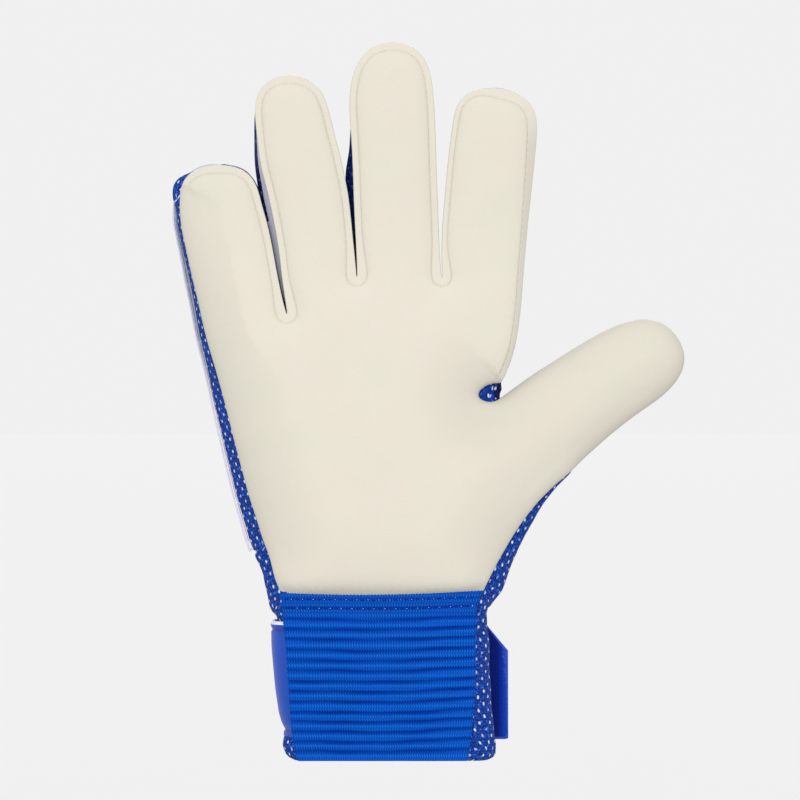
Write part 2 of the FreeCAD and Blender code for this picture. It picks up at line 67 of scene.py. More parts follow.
POCKET = [(42.45, 142.31), (41.4, 141.98), (40.12, 142.05), (38.62, 141.82), (36.75, 141.07), (35.1, 139.95), (34.05, 138.52), (33.9, 137.02), (35.1, 135.82), (36.98, 135.15), (39.15, 135.0), (40.65, 135.45), (41.7, 136.12)]
THUMB = [(41.7, 136.12), (43.88, 137.77), (46.5, 139.65), (51.0, 143.02), (56.62, 146.85), (62.62, 150.6), (68.62, 154.43), (75.0, 158.32), (81.75, 162.0), (87.75, 164.55), (93.0, 165.98), (98.25, 166.12), (102.38, 164.93), (105.98, 162.52), (108.75, 159.15), (110.62, 155.4), (111.45, 151.88), (110.92, 148.12), (109.35, 144.38), (106.73, 140.85), (103.12, 137.4), (99.15, 134.4), (94.88, 131.48), (90.52, 128.32), (86.02, 124.8), (81.75, 121.27), (77.62, 117.52), (73.5, 113.85), (69.52, 109.88), (65.77, 106.73), (62.1, 103.65), (59.02, 100.65), (55.95, 97.5), (53.48, 94.43), (51.3, 91.5), (48.98, 88.2), (46.73, 84.6), (44.48, 80.77), (42.3, 77.02), (40.27, 73.27), (38.4, 69.52), (36.6, 66.0), (35.4, 63.0)]

DIST = 1200.0  # camera to palm plane
EYE = np.array([4.5, 135.75])


def far(pts, y):
    """Where points drawn in the palm plane lie when they are really at depth y."""
    k = (DIST + 10.5 + np.asarray(y, float)) / DIST
    return EYE + (np.asarray(pts, float) - EYE) * (k[:, None] if np.ndim(k) else k)


# ------------------------------------------------------------------ plane curves
def lengths(p):
    return np.r_[0, np.cumsum(np.hypot(*np.diff(p, axis=0).T))]


def resample(p, step):
    t = lengths(p)
    q = np.linspace(0, t[-1], max(int(round(t[-1] / step)), 2) + 1)
    return np.c_[np.interp(q, t, p[:, 0]), np.interp(q, t, p[:, 1])]


def gauss(a, sigma, step, cyclic=False):
    w = max(int(4 * sigma / step), 1)
    w = min(w, len(a) - 2)
    g = np.exp(-0.5 * (np.arange(-w, w + 1) * step / sigma) ** 2)
    g /= g.sum()
    a = np.asarray(a, float)
    if a.ndim == 1:
        a = a[:, None]
    if cyclic:
        pad = np.r_[a[-w:], a, a[:w]]
    else:
        pad = np.r_[2 * a[0] - a[w:0:-1], a, 2 * a[-1] - a[-2:-w - 2:-1]]
    return np.squeeze(np.stack([np.convolve(pad[:, k], g, "valid") for k in range(a.shape[1])], 1))


def spline(pts, step=1.0, sigma=2.0):
    """Natural cubic through the points by chord length, lightly smoothed, its ends kept."""
    p = np.array(pts, float)
    h = np.hypot(*np.diff(p, axis=0).T)
    t = np.r_[0, np.cumsum(h)]
    n = len(p)
    a = np.eye(n)
    r = np.zeros((n, 2))
    for i in range(1, n - 1):
        a[i, i - 1], a[i, i], a[i, i + 1] = h[i - 1], 2 * (h[i - 1] + h[i]), h[i]
        r[i] = 6 * ((p[i + 1] - p[i]) / h[i] - (p[i] - p[i - 1]) / h[i - 1])
    m = np.linalg.solve(a, r)
    q = np.linspace(0, t[-1], max(int(round(t[-1] / 0.1)), 12))
    k = np.clip(np.searchsorted(t, q, side="right") - 1, 0, n - 2)
    hh = h[k][:, None]
    b = (q - t[k])[:, None] / hh
    c = 1 - b
    out = c * p[k] + b * p[k + 1] + ((c ** 3 - c) * m[k] + (b ** 3 - b) * m[k + 1]) * hh ** 2 / 6
    if sigma:
        out = gauss(out, sigma, 0.1)
    return resample(out, step) if step else out


def normals2(p, closed=True):
    """Normals to the left of the way along: outward on a clockwise loop."""
    t = np.roll(p, -1, 0) - np.roll(p, 1, 0) if closed else np.gradient(p, axis=0)
    t /= np.maximum(np.hypot(*t.T), 1e-9)[:, None]
    return np.c_[-t[:, 1], t[:, 0]]


def inside(pts, poly):
    x, y = pts[:, 0], pts[:, 1]
    res = np.zeros(len(pts), bool)
    a, b = poly, np.roll(poly, -1, 0)
    for k in range(0, len(a), 64):
        ax, ay, bx, by = a[k:k + 64, 0], a[k:k + 64, 1], b[k:k + 64, 0], b[k:k + 64, 1]
        cross = (ay[None] > y[:, None]) != (by[None] > y[:, None])
        dy = np.where(by == ay, 1e-12, by - ay)
        xi = ax[None] + (y[:, None] - ay[None]) * ((bx - ax) / dy)[None]
        res ^= (np.sum(cross & (x[:, None] < xi), axis=1) % 2).astype(bool)
    return res


def tree(pts):
    t = KDTree(len(pts))
    for i, p in enumerate(pts):
        t.insert((p[0], p[1], 0), i)
    t.balance()
    return t


def nearest(t, pts):
    r = [t.find((p[0], p[1], 0)) for p in pts]
    return np.array([q[2] for q in r]), np.array([q[1] for q in r])


def thin(pts, gap):
    """Greedy: keeps points that are at least gap apart."""
    if len(pts) == 0:
        return np.zeros(0, bool)
    keep = np.ones(len(pts), bool)
    t = tree(pts)
    for i, p in enumerate(pts):
        if keep[i]:
            for _, j, _ in t.find_range((p[0], p[1], 0), gap):
                if j > i:
                    keep[j] = False
    return keep


def smooth01(t):
    t = np.clip(t, 0, 1)
    return t * t * (3 - 2 * t)


def waves(p, size, seed, n=7):
    """Smooth noise of about unit height, its bumps about size across."""
    r = np.random.default_rng(seed)
    out = 0
    for _ in range(n):
        a = r.uniform(0, 2 * math.pi)
        k = 2 * math.pi / size * r.uniform(0.6, 1.4)
        out = out + np.sin(k * (p[:, 0] * math.cos(a) + p[:, 1] * math.sin(a)) + r.uniform(0, 6.28))
    return out / math.sqrt(n / 2) / 1.6


# ------------------------------------------------------------------ fingers
FINGERS = {  # base point, tilt, length to the middle joint, lean of the centre line, half width
    "little": ((-54.94, 169.88), 5.0, 27.0, 0.0875, 14.6),
    "ring": ((-25.69, 184.5), 4.4, 36.0, 0.077, 13.9),
    "middle": ((4.24, 184.88), 1.0, 41.0, 0.0175, 15.0),
    "index": ((35.44, 183.75), -2.25, 33.0, -0.0393, 15.3),
    "thumb": ((55.42, 123.38), -54.5, 30.8, 0.0, 18.0),
}
CUT = {"little": -2.6, "ring": -2.4, "middle": -2.4, "index": -2.6, "thumb": -5.0}
TILT = 10.5


def local(f, p):
    (bx, bz), al, L1, lean, hw = FINGERS[f]
    al = math.radians(al)
    d = p - np.array([bx, bz])
    s = -math.sin(al) * d[:, 0] + math.cos(al) * d[:, 1]
    t = math.cos(al) * d[:, 0] + math.sin(al) * d[:, 1]
    return s, t + lean * s


def world(f, s, t=0.0, y=-TILT):
    (bx, bz), al, L1, lean, hw = FINGERS[f]
    al = math.radians(al)
    t = t - lean * s
    return (bx + math.cos(al) * t - math.sin(al) * s, y, bz + math.sin(al) * t + math.cos(al) * s)


MIDS = []  # for each fork, heights and the x of the line that parts its two fingers, filled in further down


def region(p):
    """0 hand, then 1 + 2k the lower and 2 + 2k the upper piece of finger k, by place in the plane."""
    st = [local(f, p) for f in FINGERS]
    r = np.array([np.abs(t) / FINGERS[f][4] for f, (s, t) in zip(FINGERS, st)])
    who = np.argmin(r[:4], axis=0)
    for k, (z, x) in enumerate(MIDS):
        m = ((who == k) | (who == k + 1)) & (p[:, 1] > z[0])
        who[m] = np.where(p[m, 0] < np.interp(p[m, 1], z, x), k, k + 1)
    best = np.take_along_axis(r, who[None], 0)[0]
    s5, t5 = st[4]
    thumb = (s5 > CUT["thumb"]) & (r[4] < best) & (r[4] < np.where(t5 < 0, 1.12, 1.6))
    lab = np.zeros(len(p), int)
    for k, f in enumerate(FINGERS):
        s = st[k][0]
        m = thumb if k == 4 else (who == k) & ~thumb & (best < 1.6)
        lab[m] = np.where(s[m] > CUT[f], 1 + 2 * k + (s[m] > FINGERS[f][2] / 2), 0)
    return lab


def region_of(f, p):
    k = list(FINGERS).index(f)
    s, _ = local(f, p)
    return np.where(s > CUT[f], 1 + 2 * k + (s > FINGERS[f][2] / 2), 0)


# ------------------------------------------------------------------ layers and pieces
class Layer:
    """Vertices, faces, material numbers, rest coordinates and the region each face belongs to."""

    def __init__(self):
        self.v, self.f, self.m, self.uv, self.r = [], [], [], [], []
        self.n = 0
        self.fixed = []

    def add(self, v, f, m=0, uv=None, reg=0, fixed=None):
        v = np.asarray(v, float)
        uv = v[:, [0, 2]] if uv is None else np.asarray(uv, float)
        self.v.append(v)
        self.uv.append(uv)
        self.fixed.append(np.full((len(v), 3), np.nan) if fixed is None else np.asarray(fixed, float))
        self.f += [tuple(int(i) + self.n for i in q) for q in f]
        self.m += list(np.broadcast_to(m, len(f)))
        self.r += list(np.broadcast_to(reg, len(f)))
        self.n += len(v)
        return self

    def done(self):
        self.V = np.concatenate(self.v)
        self.UV = np.concatenate(self.uv)
        self.R = np.array(self.r)
        self.M = np.array(self.m)
        return self

    def normals(self):
        n = np.zeros((len(self.V), 3))
        for size in (3, 4):
            idx = np.array([q for q in self.f if len(q) == size])
            if len(idx):
                a, b, c = self.V[idx[:, 0]], self.V[idx[:, 1]], self.V[idx[:, 2]]
                fn = np.cross(b - a, c - a) if size == 3 else np.cross(c - a, self.V[idx[:, 3]] - b)
                for k in range(size):
                    np.add.at(n, idx[:, k], fn)
        n /= np.maximum(np.linalg.norm(n, axis=1), 1e-12)[:, None]
        return n


def mesh_object(name, v, f, mats, m=None, uv=None, vn=None):
    me = bpy.data.meshes.new(name)
    me.from_pydata((np.asarray(v, float) / 1000).tolist(), [], [tuple(int(i) for i in q) for q in f])
    me.validate(verbose=False)
    for x in mats:
        me.materials.append(x)
    if m is not None:
        me.polygons.foreach_set("material_index", np.asarray(m, np.int32))
    me.polygons.foreach_set("use_smooth", np.ones(len(me.polygons), bool))
    if uv is not None:
        lay = me.uv_layers.new(name="rest")
        idx = np.zeros(len(me.loops), np.int32)
        me.loops.foreach_get("vertex_index", idx)
        lay.data.foreach_set("uv", (np.asarray(uv, float)[idx] / 1000).astype(np.float32).ravel())
    me.update()
    if vn is not None:
        me.normals_split_custom_set_from_vertices(np.asarray(vn, float).tolist())
    ob = bpy.data.objects.new(name, me)
    bpy.context.scene.collection.objects.link(ob)
    return ob


def cut_piece(layer, name, mats, pick, vn):
    idx = np.nonzero(pick)[0]
    if len(idx) == 0:
        return None
    faces = [layer.f[i] for i in idx]
    used = np.unique(np.concatenate([np.array(q) for q in faces]))
    remap = np.full(len(layer.V), -1)
    remap[used] = np.arange(len(used))
    faces = [tuple(remap[list(q)]) for q in faces]
    return mesh_object(name, layer.V[used], faces, mats, layer.M[idx], layer.UV[used], vn[used])


# ------------------------------------------------------------------ a sewn sheet with a shaped surface
class Loop:
    """A clockwise closed outline with, at each sample, its outward normal and edge parameters."""

    def __init__(self, parts):
        """parts: (points, name) in order; consecutive parts share no point."""
        pts, seg = [], []
        for p, name in parts:
            pts.append(p)
            seg += [name] * len(p)
        self.p = np.concatenate(pts)
        self.seg = np.array(seg)
        self.n = len(self.p)
        self.nor = normals2(self.p)
        d = np.hypot(*(np.roll(self.p, -1, 0) - self.p).T)
        self.arc = np.r_[0, np.cumsum(d)][:-1]
        self.total = d.sum()
        dense, owner = [], []
        for i in range(self.n):
            a, b = self.p[i], self.p[(i + 1) % self.n]
            k = max(int(np.hypot(*(b - a)) / 0.12), 1)
            for j in range(k):
                dense.append(a + (b - a) * j / k)
                owner.append((i + j / k) % self.n)
        self.dense = np.array(dense)
        self.owner = np.array(owner)
        self.tree = tree(self.dense)

    def smooth(self, a, sigma):
        """Gaussian along the loop by arc length."""
        m = int(self.total)
        q = np.linspace(0, self.total, m, endpoint=False)
        v = np.interp(q, np.r_[self.arc, self.total], np.r_[a, a[0]])
        v = gauss(v, sigma, self.total / m, cyclic=True)
        return np.interp(self.arc, np.r_[q, self.total], np.r_[v, v[0]])

    def at(self, arr, own):
        i = np.floor(own).astype(int) % self.n
        u = own - np.floor(own)
        return arr[i] * (1 - u) + arr[(i + 1) % self.n] * u

    def near(self, pts):
        d, k = nearest(self.tree, pts)
        return d, self.owner[k]


def offset_rows(loop, dists):
    """Points at inward distances dists (n samples by K rows), with a flag where they are really that far in."""
    k = dists.shape[1]
    pts = loop.p[:, None, :] - loop.nor[:, None, :] * dists[:, :, None]
    flat = pts.reshape(-1, 2)
    d, _ = loop.near(flat)
    ok = (d >= dists.reshape(-1) * 0.965 - 0.02) & inside(flat, loop.p)
    return pts, ok.reshape(loop.n, k)


def sheet_mesh(loop, dists, keep_rows, pitch, extra=None, hard=()):
    """Triangulates the inside of the loop: rows of points along the edge, then an even grid."""
    pts, ok = offset_rows(loop, dists)
    chosen, edges = [loop.p], [(i, (i + 1) % loop.n) for i in range(loop.n)]
    taken = loop.n
    if extra is not None and len(extra):
        d, own = loop.near(extra)
        extra = extra[(d > 1.0) & inside(extra, loop.p)]
        chosen.append(extra)
        taken += len(extra)
    for k in range(dists.shape[1]):
        rows = np.nonzero(ok[:, k])[0]
        if k >= keep_rows:
            rows = rows[(rows % 2) == (k % 2)]
        p = pts[rows, k]
        keep = thin(p, 0.42 if k < keep_rows else 1.0)
        rows, p = rows[keep], p[keep]
        if extra is not None and len(extra):
            dd, _ = nearest(tree(extra), p)
            rows, p = rows[dd > 0.5], p[dd > 0.5]
        if k in hard:
            for a in range(len(rows)):
                b = (a + 1) % len(rows)
                if np.hypot(*(p[b] - p[a])) < 2.2:
                    edges.append((taken + a, taken + b))
        chosen.append(p)
        taken += len(p)
    lo, hi = loop.p.min(0), loop.p.max(0)
    nx, nz = int((hi[0] - lo[0]) / pitch) + 2, int((hi[1] - lo[1]) / (pitch * 0.866)) + 2
    g = np.array([(lo[0] + (i + 0.5 * (j % 2)) * pitch, lo[1] + j * pitch * 0.866) for j in range(nz) for i in range(nx)])
    g = g[inside(g, loop.p)]
    d, own = loop.near(g)
    deep = np.array([loop.at(dists[:, -1], np.array([o]))[0] for o in own])
    g = g[d > deep + 0.55 * pitch]
    if extra is not None and len(extra):
        dd, _ = nearest(tree(extra), g)
        g = g[dd > 0.8 * pitch]
    chosen.append(g)
    allp = np.concatenate(chosen)
    out = delaunay_2d_cdt([Vector(p) for p in allp.tolist()], edges, [], 0, 1e-4, True)
    v = np.array([tuple(p) for p in out[0]])
    tri = np.array(out[2])
    where = np.full(loop.n, -1)
    for new, olds in enumerate(out[3]):
        for o in olds:
            if o < loop.n:
                where[o] = new
    c = v[tri].mean(1)
    tri = tri[inside(c, loop.p)]
    a, b, c = v[tri[:, 0]], v[tri[:, 1]], v[tri[:, 2]]
    area = (b[:, 0] - a[:, 0]) * (c[:, 1] - a[:, 1]) - (b[:, 1] - a[:, 1]) * (c[:, 0] - a[:, 0])
    tri[area < 0] = tri[area < 0][:, [0, 2, 1]]
    tri = tri[np.abs(area) > 1e-7]
    used = np.unique(tri)
    re = np.full(len(v), -1)
    re[used] = np.arange(len(used))
    where = np.where(where >= 0, re[where], -1)
    return v[used], re[tri], where


def relax(v, tri, h, free, turns=12):
    """Evens out a height over the sheet where free is above 0."""
    i = np.concatenate([tri[:, 0], tri[:, 1], tri[:, 2], tri[:, 1], tri[:, 2], tri[:, 0]])
    j = np.concatenate([tri[:, 1], tri[:, 2], tri[:, 0], tri[:, 0], tri[:, 1], tri[:, 2]])
    cnt = np.bincount(i, minlength=len(v))
    for _ in range(turns):
        mean = np.bincount(i, h[j], minlength=len(v)) / np.maximum(cnt, 1)
        h = h + (mean - h) * free
    return h


def shell(layer, loop, v, tri, where, y, side, thick, rim, mat_in=0, m=0):
    """Closed sheet: outer face at depth y facing side (-1 palm, +1 back), rim rows past the edge, and an inner face.
    rim is (n, K, 2): how far out and how far back each rim row stands from the edge."""
    n = len(v)
    outer = np.c_[v[:, 0], y, v[:, 1]]
    K = rim.shape[1]
    rows = np.zeros((loop.n, K, 3))
    e = outer[where]
    rows[:, :, 0] = e[:, None, 0] + loop.nor[:, None, 0] * rim[:, :, 0]
    rows[:, :, 2] = e[:, None, 2] + loop.nor[:, None, 1] * rim[:, :, 0]
    rows[:, :, 1] = e[:, None, 1] - side * rim[:, :, 1]
    V = np.concatenate([outer, rows.reshape(-1, 3)])
    F, reg = [], []
    t = tri if side < 0 else tri[:, [0, 2, 1]]
    F += [tuple(q) for q in t]
    reg += list(region(v[tri].mean(1)))
    cx = region(loop.p + (np.roll(loop.p, -1, 0) - loop.p) / 2 - loop.nor * 0.3)
    ids = n + np.arange(loop.n * K).reshape(loop.n, K)
    full = np.concatenate([where[:, None], ids], 1)
    for i in range(loop.n):
        j = (i + 1) % loop.n
        for k in range(K):
            q = (full[i, k], full[i, k + 1], full[j, k + 1], full[j, k])
            F.append(q if side > 0 else q[::-1])
            reg.append(cx[i])
    # the inner face, set in along the outer face's normals
    tmp = Layer().add(V, F).done()
    vn = tmp.normals()
    inner = outer - vn[:n] * np.asarray(thick)[:, None]
    base = len(V)
    V = np.concatenate([V, inner])
    nf = len(F)
    F += [tuple(base + np.array(q)[::-1]) for q in t]
    reg += reg[:len(tri)]
    mm = [m] * nf + [mat_in] * len(tri)
    last = full[:, K]
    for i in range(loop.n):
        j = (i + 1) % loop.n
        q = (last[i], base + where[i], base + where[j], last[j])
        F.append(q if side > 0 else q[::-1])
        reg.append(cx[i])
        mm.append(m)
    layer.add(V, F, mm, reg=reg)
    return outer, inner, rows


def capsules(layer, pts, nor, length, radius, m, reg_of, lift=0.0, gap=None, ring=6, flat=0.75):
    """Lock stitches along a 3-D path: short rounded threads, each in one piece."""
    d = np.linalg.norm(np.diff(pts, axis=0), axis=1)
    t = np.r_[0, np.cumsum(d)]
    pitch = gap
    count = int(t[-1] / pitch)
    prof = [(-1.0, 0.15), (-0.82, 0.75), (-0.4, 1.0), (0.4, 1.0), (0.82, 0.75), (1.0, 0.15)]
    for c in range(count):
        q = (c + 0.5) * pitch
        p = np.array([np.interp(q, t, pts[:, k]) for k in range(3)])
        a = np.array([np.interp(q - 0.4, t, pts[:, k]) for k in range(3)])
        b = np.array([np.interp(q + 0.4, t, pts[:, k]) for k in range(3)])
        u = (b - a) / max(np.linalg.norm(b - a), 1e-9)
        nn = np.array([np.interp(q, t, nor[:, k]) for k in range(3)])
        nn -= u * (nn @ u)
        nn /= max(np.linalg.norm(nn), 1e-9)
        w = np.cross(u, nn)
        V, F = [], []
        for (s, r) in prof:
            dip = -0.32 * radius * (abs(s) ** 3) * 2.0
            for k in range(ring):
                g = 2 * math.pi * k / ring
                V.append(p + u * s * length / 2 + nn * (lift + dip + radius * r * flat * math.sin(g)) + w * radius * r * math.cos(g))
        for a2 in range(len(prof) - 1):
            for k in range(ring):
                k2 = (k + 1) % ring
                F.append((a2 * ring + k, (a2 + 1) * ring + k, (a2 + 1) * ring + k2, a2 * ring + k2))
        F.append(tuple(range(ring))[::-1])
        F.append(tuple((len(prof) - 1) * ring + k for k in range(ring)))
        layer.add(V, F, m, reg=reg_of(p))

# ------------------------------------------------------------------ materials
def lin(r, g, b):
    f = lambda c: c / 12.92 if c <= 0.04045 else ((c + 0.055) / 1.055) ** 2.4
    return tuple(f(x / 255) for x in (r, g, b)) + (1.0,)


class Mat:
    def __init__(self, name, **values):
        self.m = bpy.data.materials.new(name)
        self.m.use_nodes = True
        self.t = self.m.node_tree
        self.b = self.t.nodes["Principled BSDF"]
        for k, v in values.items():
            self.b.inputs[k.replace("_", " ")].default_value = v

    def put(self, socket, v):
        if isinstance(v, bpy.types.NodeSocket):
            self.t.links.new(v, socket)
        elif v is not None:
            socket.default_value = v

    def uv(self):
        n = self.t.nodes.new("ShaderNodeUVMap")
        n.uv_map = "rest"
        return n.outputs["UV"]

    def xy(self):
        s = self.t.nodes.new("ShaderNodeSeparateXYZ")
        self.put(s.inputs[0], self.uv())
        return s.outputs[0], s.outputs[1]

    def vec(self, x, y, z=0.0):
        n = self.t.nodes.new("ShaderNodeCombineXYZ")
        for i, v in enumerate((x, y, z)):
            self.put(n.inputs[i], v)
        return n.outputs[0]

    def math(self, op, a, b=None, c=None):
        n = self.t.nodes.new("ShaderNodeMath")
        n.operation = op
        for i, v in enumerate((a, b, c)):
            if v is not None:
                self.put(n.inputs[i], v)
        return n.outputs[0]

    def noise(self, scale, detail=2.0, rough=0.5, vec=None, distortion=0.0):
        n = self.t.nodes.new("ShaderNodeTexNoise")
        n.inputs["Scale"].default_value = scale
        n.inputs["Detail"].default_value = detail
        n.inputs["Roughness"].default_value = rough
        n.inputs["Distortion"].default_value = distortion
        self.put(n.inputs["Vector"], vec if vec is not None else self.uv())
        return n.outputs["Fac"]

    def cells(self, scale, vec=None, feature="F1"):
        n = self.t.nodes.new("ShaderNodeTexVoronoi")
        n.feature = feature
        n.inputs["Scale"].default_value = scale
        self.put(n.inputs["Vector"], vec if vec is not None else self.uv())
        return n.outputs["Distance"]

    def attr(self, name):
        n = self.t.nodes.new("ShaderNodeAttribute")
        n.attribute_name = name
        return n.outputs["Fac"]

    def ramp(self, x, a, b, lo=0.0, hi=1.0):
        n = self.t.nodes.new("ShaderNodeMapRange")
        n.interpolation_type = "SMOOTHSTEP"
        self.put(n.inputs[0], x)
        for i, v in zip((1, 2, 3, 4), (a, b, lo, hi)):
            n.inputs[i].default_value = v
        return n.outputs[0]

    def mix(self, fac, a, b):
        n = self.t.nodes.new("ShaderNodeMix")
        n.data_type = "RGBA"
        self.put(n.inputs[0], fac)
        self.put(n.inputs[6], a)
        self.put(n.inputs[7], b)
        return n.outputs[2]

    def color(self, c):
        self.put(self.b.inputs["Base Color"], c)
        return self

    def bump(self, h, distance, strength=1.0):
        n = self.t.nodes.new("ShaderNodeBump")
        n.inputs["Strength"].default_value = strength
        n.inputs["Distance"].default_value = distance
        self.put(n.inputs["Height"], h)
        self.put(self.b.inputs["Normal"], n.outputs[0])
        return self

    def rough(self, x):
        self.put(self.b.inputs["Roughness"], x)
        return self


def latex(name, a, b, c, dark):
    m = Mat(name, Sheen_Weight=0.06, Sheen_Roughness=0.6, Specular_IOR_Level=0.2)
    big, mid, fine = m.noise(38, 2), m.noise(110, 3), m.noise(1500, 3, 0.6)
    col = m.mix(m.ramp(big, 0.36, 0.64), a, b)
    col = m.mix(m.ramp(mid, 0.45, 0.72, 0.0, 0.55), col, c)
    pores = m.cells(1150)
    col = m.mix(m.ramp(pores, 0.05, 0.32, 0.10, 0.0), col, dark)
    col = m.mix(m.ramp(fine, 0.35, 0.7, 0.0, 0.10), col, dark)
    # painted shade: greyer towards the rolled edges, up the fingers and on the index finger's right flange
    col = m.mix(m.math("MULTIPLY", m.attr("groove_and_painted_shade"), 0.9), col, tuple(x * 0.86 for x in a[:3]) + (1.0,))
    m.color(col)
    m.rough(m.ramp(m.noise(260, 3), 0.3, 0.7, 0.62, 0.78))
    h = m.math("ADD", m.math("MULTIPLY", fine, 0.6), m.math("MULTIPLY", m.ramp(pores, 0.0, 0.35), 0.5))
    h = m.math("ADD", h, m.math("MULTIPLY", m.noise(420, 2), 0.9))
    return m.bump(h, 0.00006, 0.75).m


def knit_mesh(name):
    """Blue knit with pale eyelets: columns 2.5 mm apart, eyelets 4.8 mm apart and staggered."""
    m = Mat(name, Sheen_Weight=0.0, Specular_IOR_Level=0.1)
    u, v = m.xy()
    wob = m.math("MULTIPLY", m.math("SUBTRACT", m.noise(330, 3, 0.6), 0.5), 0.0016)
    u2, v2 = m.math("ADD", u, wob), m.math("ADD", v, m.math("MULTIPLY", wob, 0.6))
    col = m.math("DIVIDE", v2, 0.0025)
    ci = m.math("FLOOR", m.math("ADD", col, 0.5))
    dv = m.math("MULTIPLY", m.math("SUBTRACT", col, ci), 2.5 / 0.53)
    odd = m.math("MULTIPLY", m.math("MODULO", m.math("ABSOLUTE", ci), 2.0), 0.5)
    uu = m.math("ADD", m.math("DIVIDE", u2, 0.0048), odd)
    fu = m.math("SUBTRACT", uu, m.math("FLOOR", m.math("ADD", uu, 0.5)))
    du = m.math("MULTIPLY", fu, 4.8 / 0.70)
    r = m.math("SQRT", m.math("ADD", m.math("MULTIPLY", dv, dv), m.math("MULTIPLY", du, du)))
    # stitches: small loops in courses and wales, a chain look
    wale = m.math("SINE", m.math("MULTIPLY", v2, 2 * math.pi / 0.0008))
    course = m.math("SINE", m.math("ADD", m.math("MULTIPLY", u2, 2 * math.pi / 0.00105), m.math("MULTIPLY", wale, 1.4)))
    knit = m.math("ADD", m.math("MULTIPLY", wale, 0.22), m.math("MULTIPLY", course, 0.28))
    knit = m.math("ADD", knit, 0.5)
    spots = m.noise(1300, 3, 0.6)
    base = m.mix(m.ramp(knit, 0.1, 0.9), lin(1, 18, 82), lin(14, 66, 168))
    base = m.mix(m.ramp(spots, 0.52, 0.74, 0.0, 0.75), base, lin(48, 104, 206))
    base = m.mix(m.ramp(m.noise(900, 2), 0.50, 0.66, 0.0, 0.6), base, lin(0, 10, 60))
    ring = m.mix(m.ramp(r, 1.1, 1.8), lin(2, 16, 84), base)
    fleck = m.ramp(m.noise(780, 2, 0.5), 0.57, 0.66, 0.0, 0.75)
    ring = m.mix(fleck, ring, lin(56, 114, 214))
    pale = m.ramp(m.noise(300, 2), 0.38, 0.56, 0.25, 1.0)
    dot = m.mix(pale, lin(48, 100, 204), lin(202, 214, 242))
    c = m.mix(m.ramp(r, 0.45, 1.25), dot, ring)
    # painted shade: the same knit goes dark down in the slits between the fingers
    m.color(m.mix(m.ramp(m.attr("groove_and_painted_shade"), 0.0, 1.0, 0.0, 0.9), c, lin(5, 12, 58)))
    m.rough(m.ramp(spots, 0.3, 0.7, 0.55, 0.75))
    h = m.math("ADD", m.math("MULTIPLY", knit, 0.7), m.math("MULTIPLY", m.ramp(r, 0.5, 1.5), 0.9))
    h = m.math("ADD", h, m.math("MULTIPLY", spots, 0.5))
    return m.bump(h, 0.00022, 0.8).m


# A darker copy of the side mesh: painted shade for the back rows of the thumb's web pocket.
def painted_shade_mesh(name):
    m = Mat(name, Sheen_Weight=0.0, Specular_IOR_Level=0.1)
    s, k = m.noise(1100, 3, 0.6), m.cells(1300)
    m.color(m.mix(m.ramp(k, 0.1, 0.5), lin(2, 6, 34), m.mix(m.ramp(s, 0.45, 0.7), lin(6, 16, 70), lin(20, 40, 120))))
    m.rough(m.ramp(s, 0.3, 0.7, 0.6, 0.8))
    return m.bump(m.math("ADD", k, s), 0.0003, 0.9).m


def elastic_mat():
    m = Mat("elastic_knit", Sheen_Weight=0.0, Specular_IOR_Level=0.06)
    u, v = m.xy()
    zig = m.math("PINGPONG", m.math("ADD", v, 1.0), 0.00094)
    uu = m.math("ADD", u, m.math("MULTIPLY", zig, 0.45))
    uu = m.math("ADD", uu, m.math("MULTIPLY", m.math("SUBTRACT", m.noise(260, 2), 0.5), 0.0005))
    s = m.math("ADD", m.math("MULTIPLY", m.math("SINE", m.math("MULTIPLY", uu, 2 * math.pi / 0.00104)), 0.5), 0.5)
    row = m.math("ADD", m.math("MULTIPLY", m.math("SINE", m.math("MULTIPLY", v, 2 * math.pi / 0.00188)), 0.5), 0.5)
    f = m.noise(1600, 3, 0.6)
    groove_and_painted_shade = m.attr("groove_and_painted_shade")
    tooth = m.math("MULTIPLY", s, m.ramp(row, 0.15, 0.85, 0.45, 1.0))
    c = m.mix(tooth, lin(0, 56, 146), lin(0, 106, 214))
    c = m.mix(m.ramp(row, 0.0, 0.5, 0.12, 0.0), c, lin(0, 48, 142))
    c = m.mix(m.ramp(f, 0.58, 0.8, 0.0, 0.35), c, lin(30, 128, 226))
    c = m.mix(m.ramp(m.noise(60, 2), 0.4, 0.66, 0.0, 0.22), c, lin(0, 76, 190))
    # painted shade: darker down in the rib grooves, in the two stitch lines and on the sides; the top band above the
    # ribs is also made darker
    m.color(m.mix(m.math("MULTIPLY", groove_and_painted_shade, 0.9), c, lin(0, 34, 124)))
    m.rough(m.ramp(f, 0.3, 0.7, 0.5, 0.7))
    h = m.math("ADD", m.math("MULTIPLY", tooth, 1.2), m.math("MULTIPLY", row, 0.15))
    h = m.math("ADD", h, m.math("MULTIPLY", f, 0.4))
    return m.bump(h, 0.00022, 0.8).m


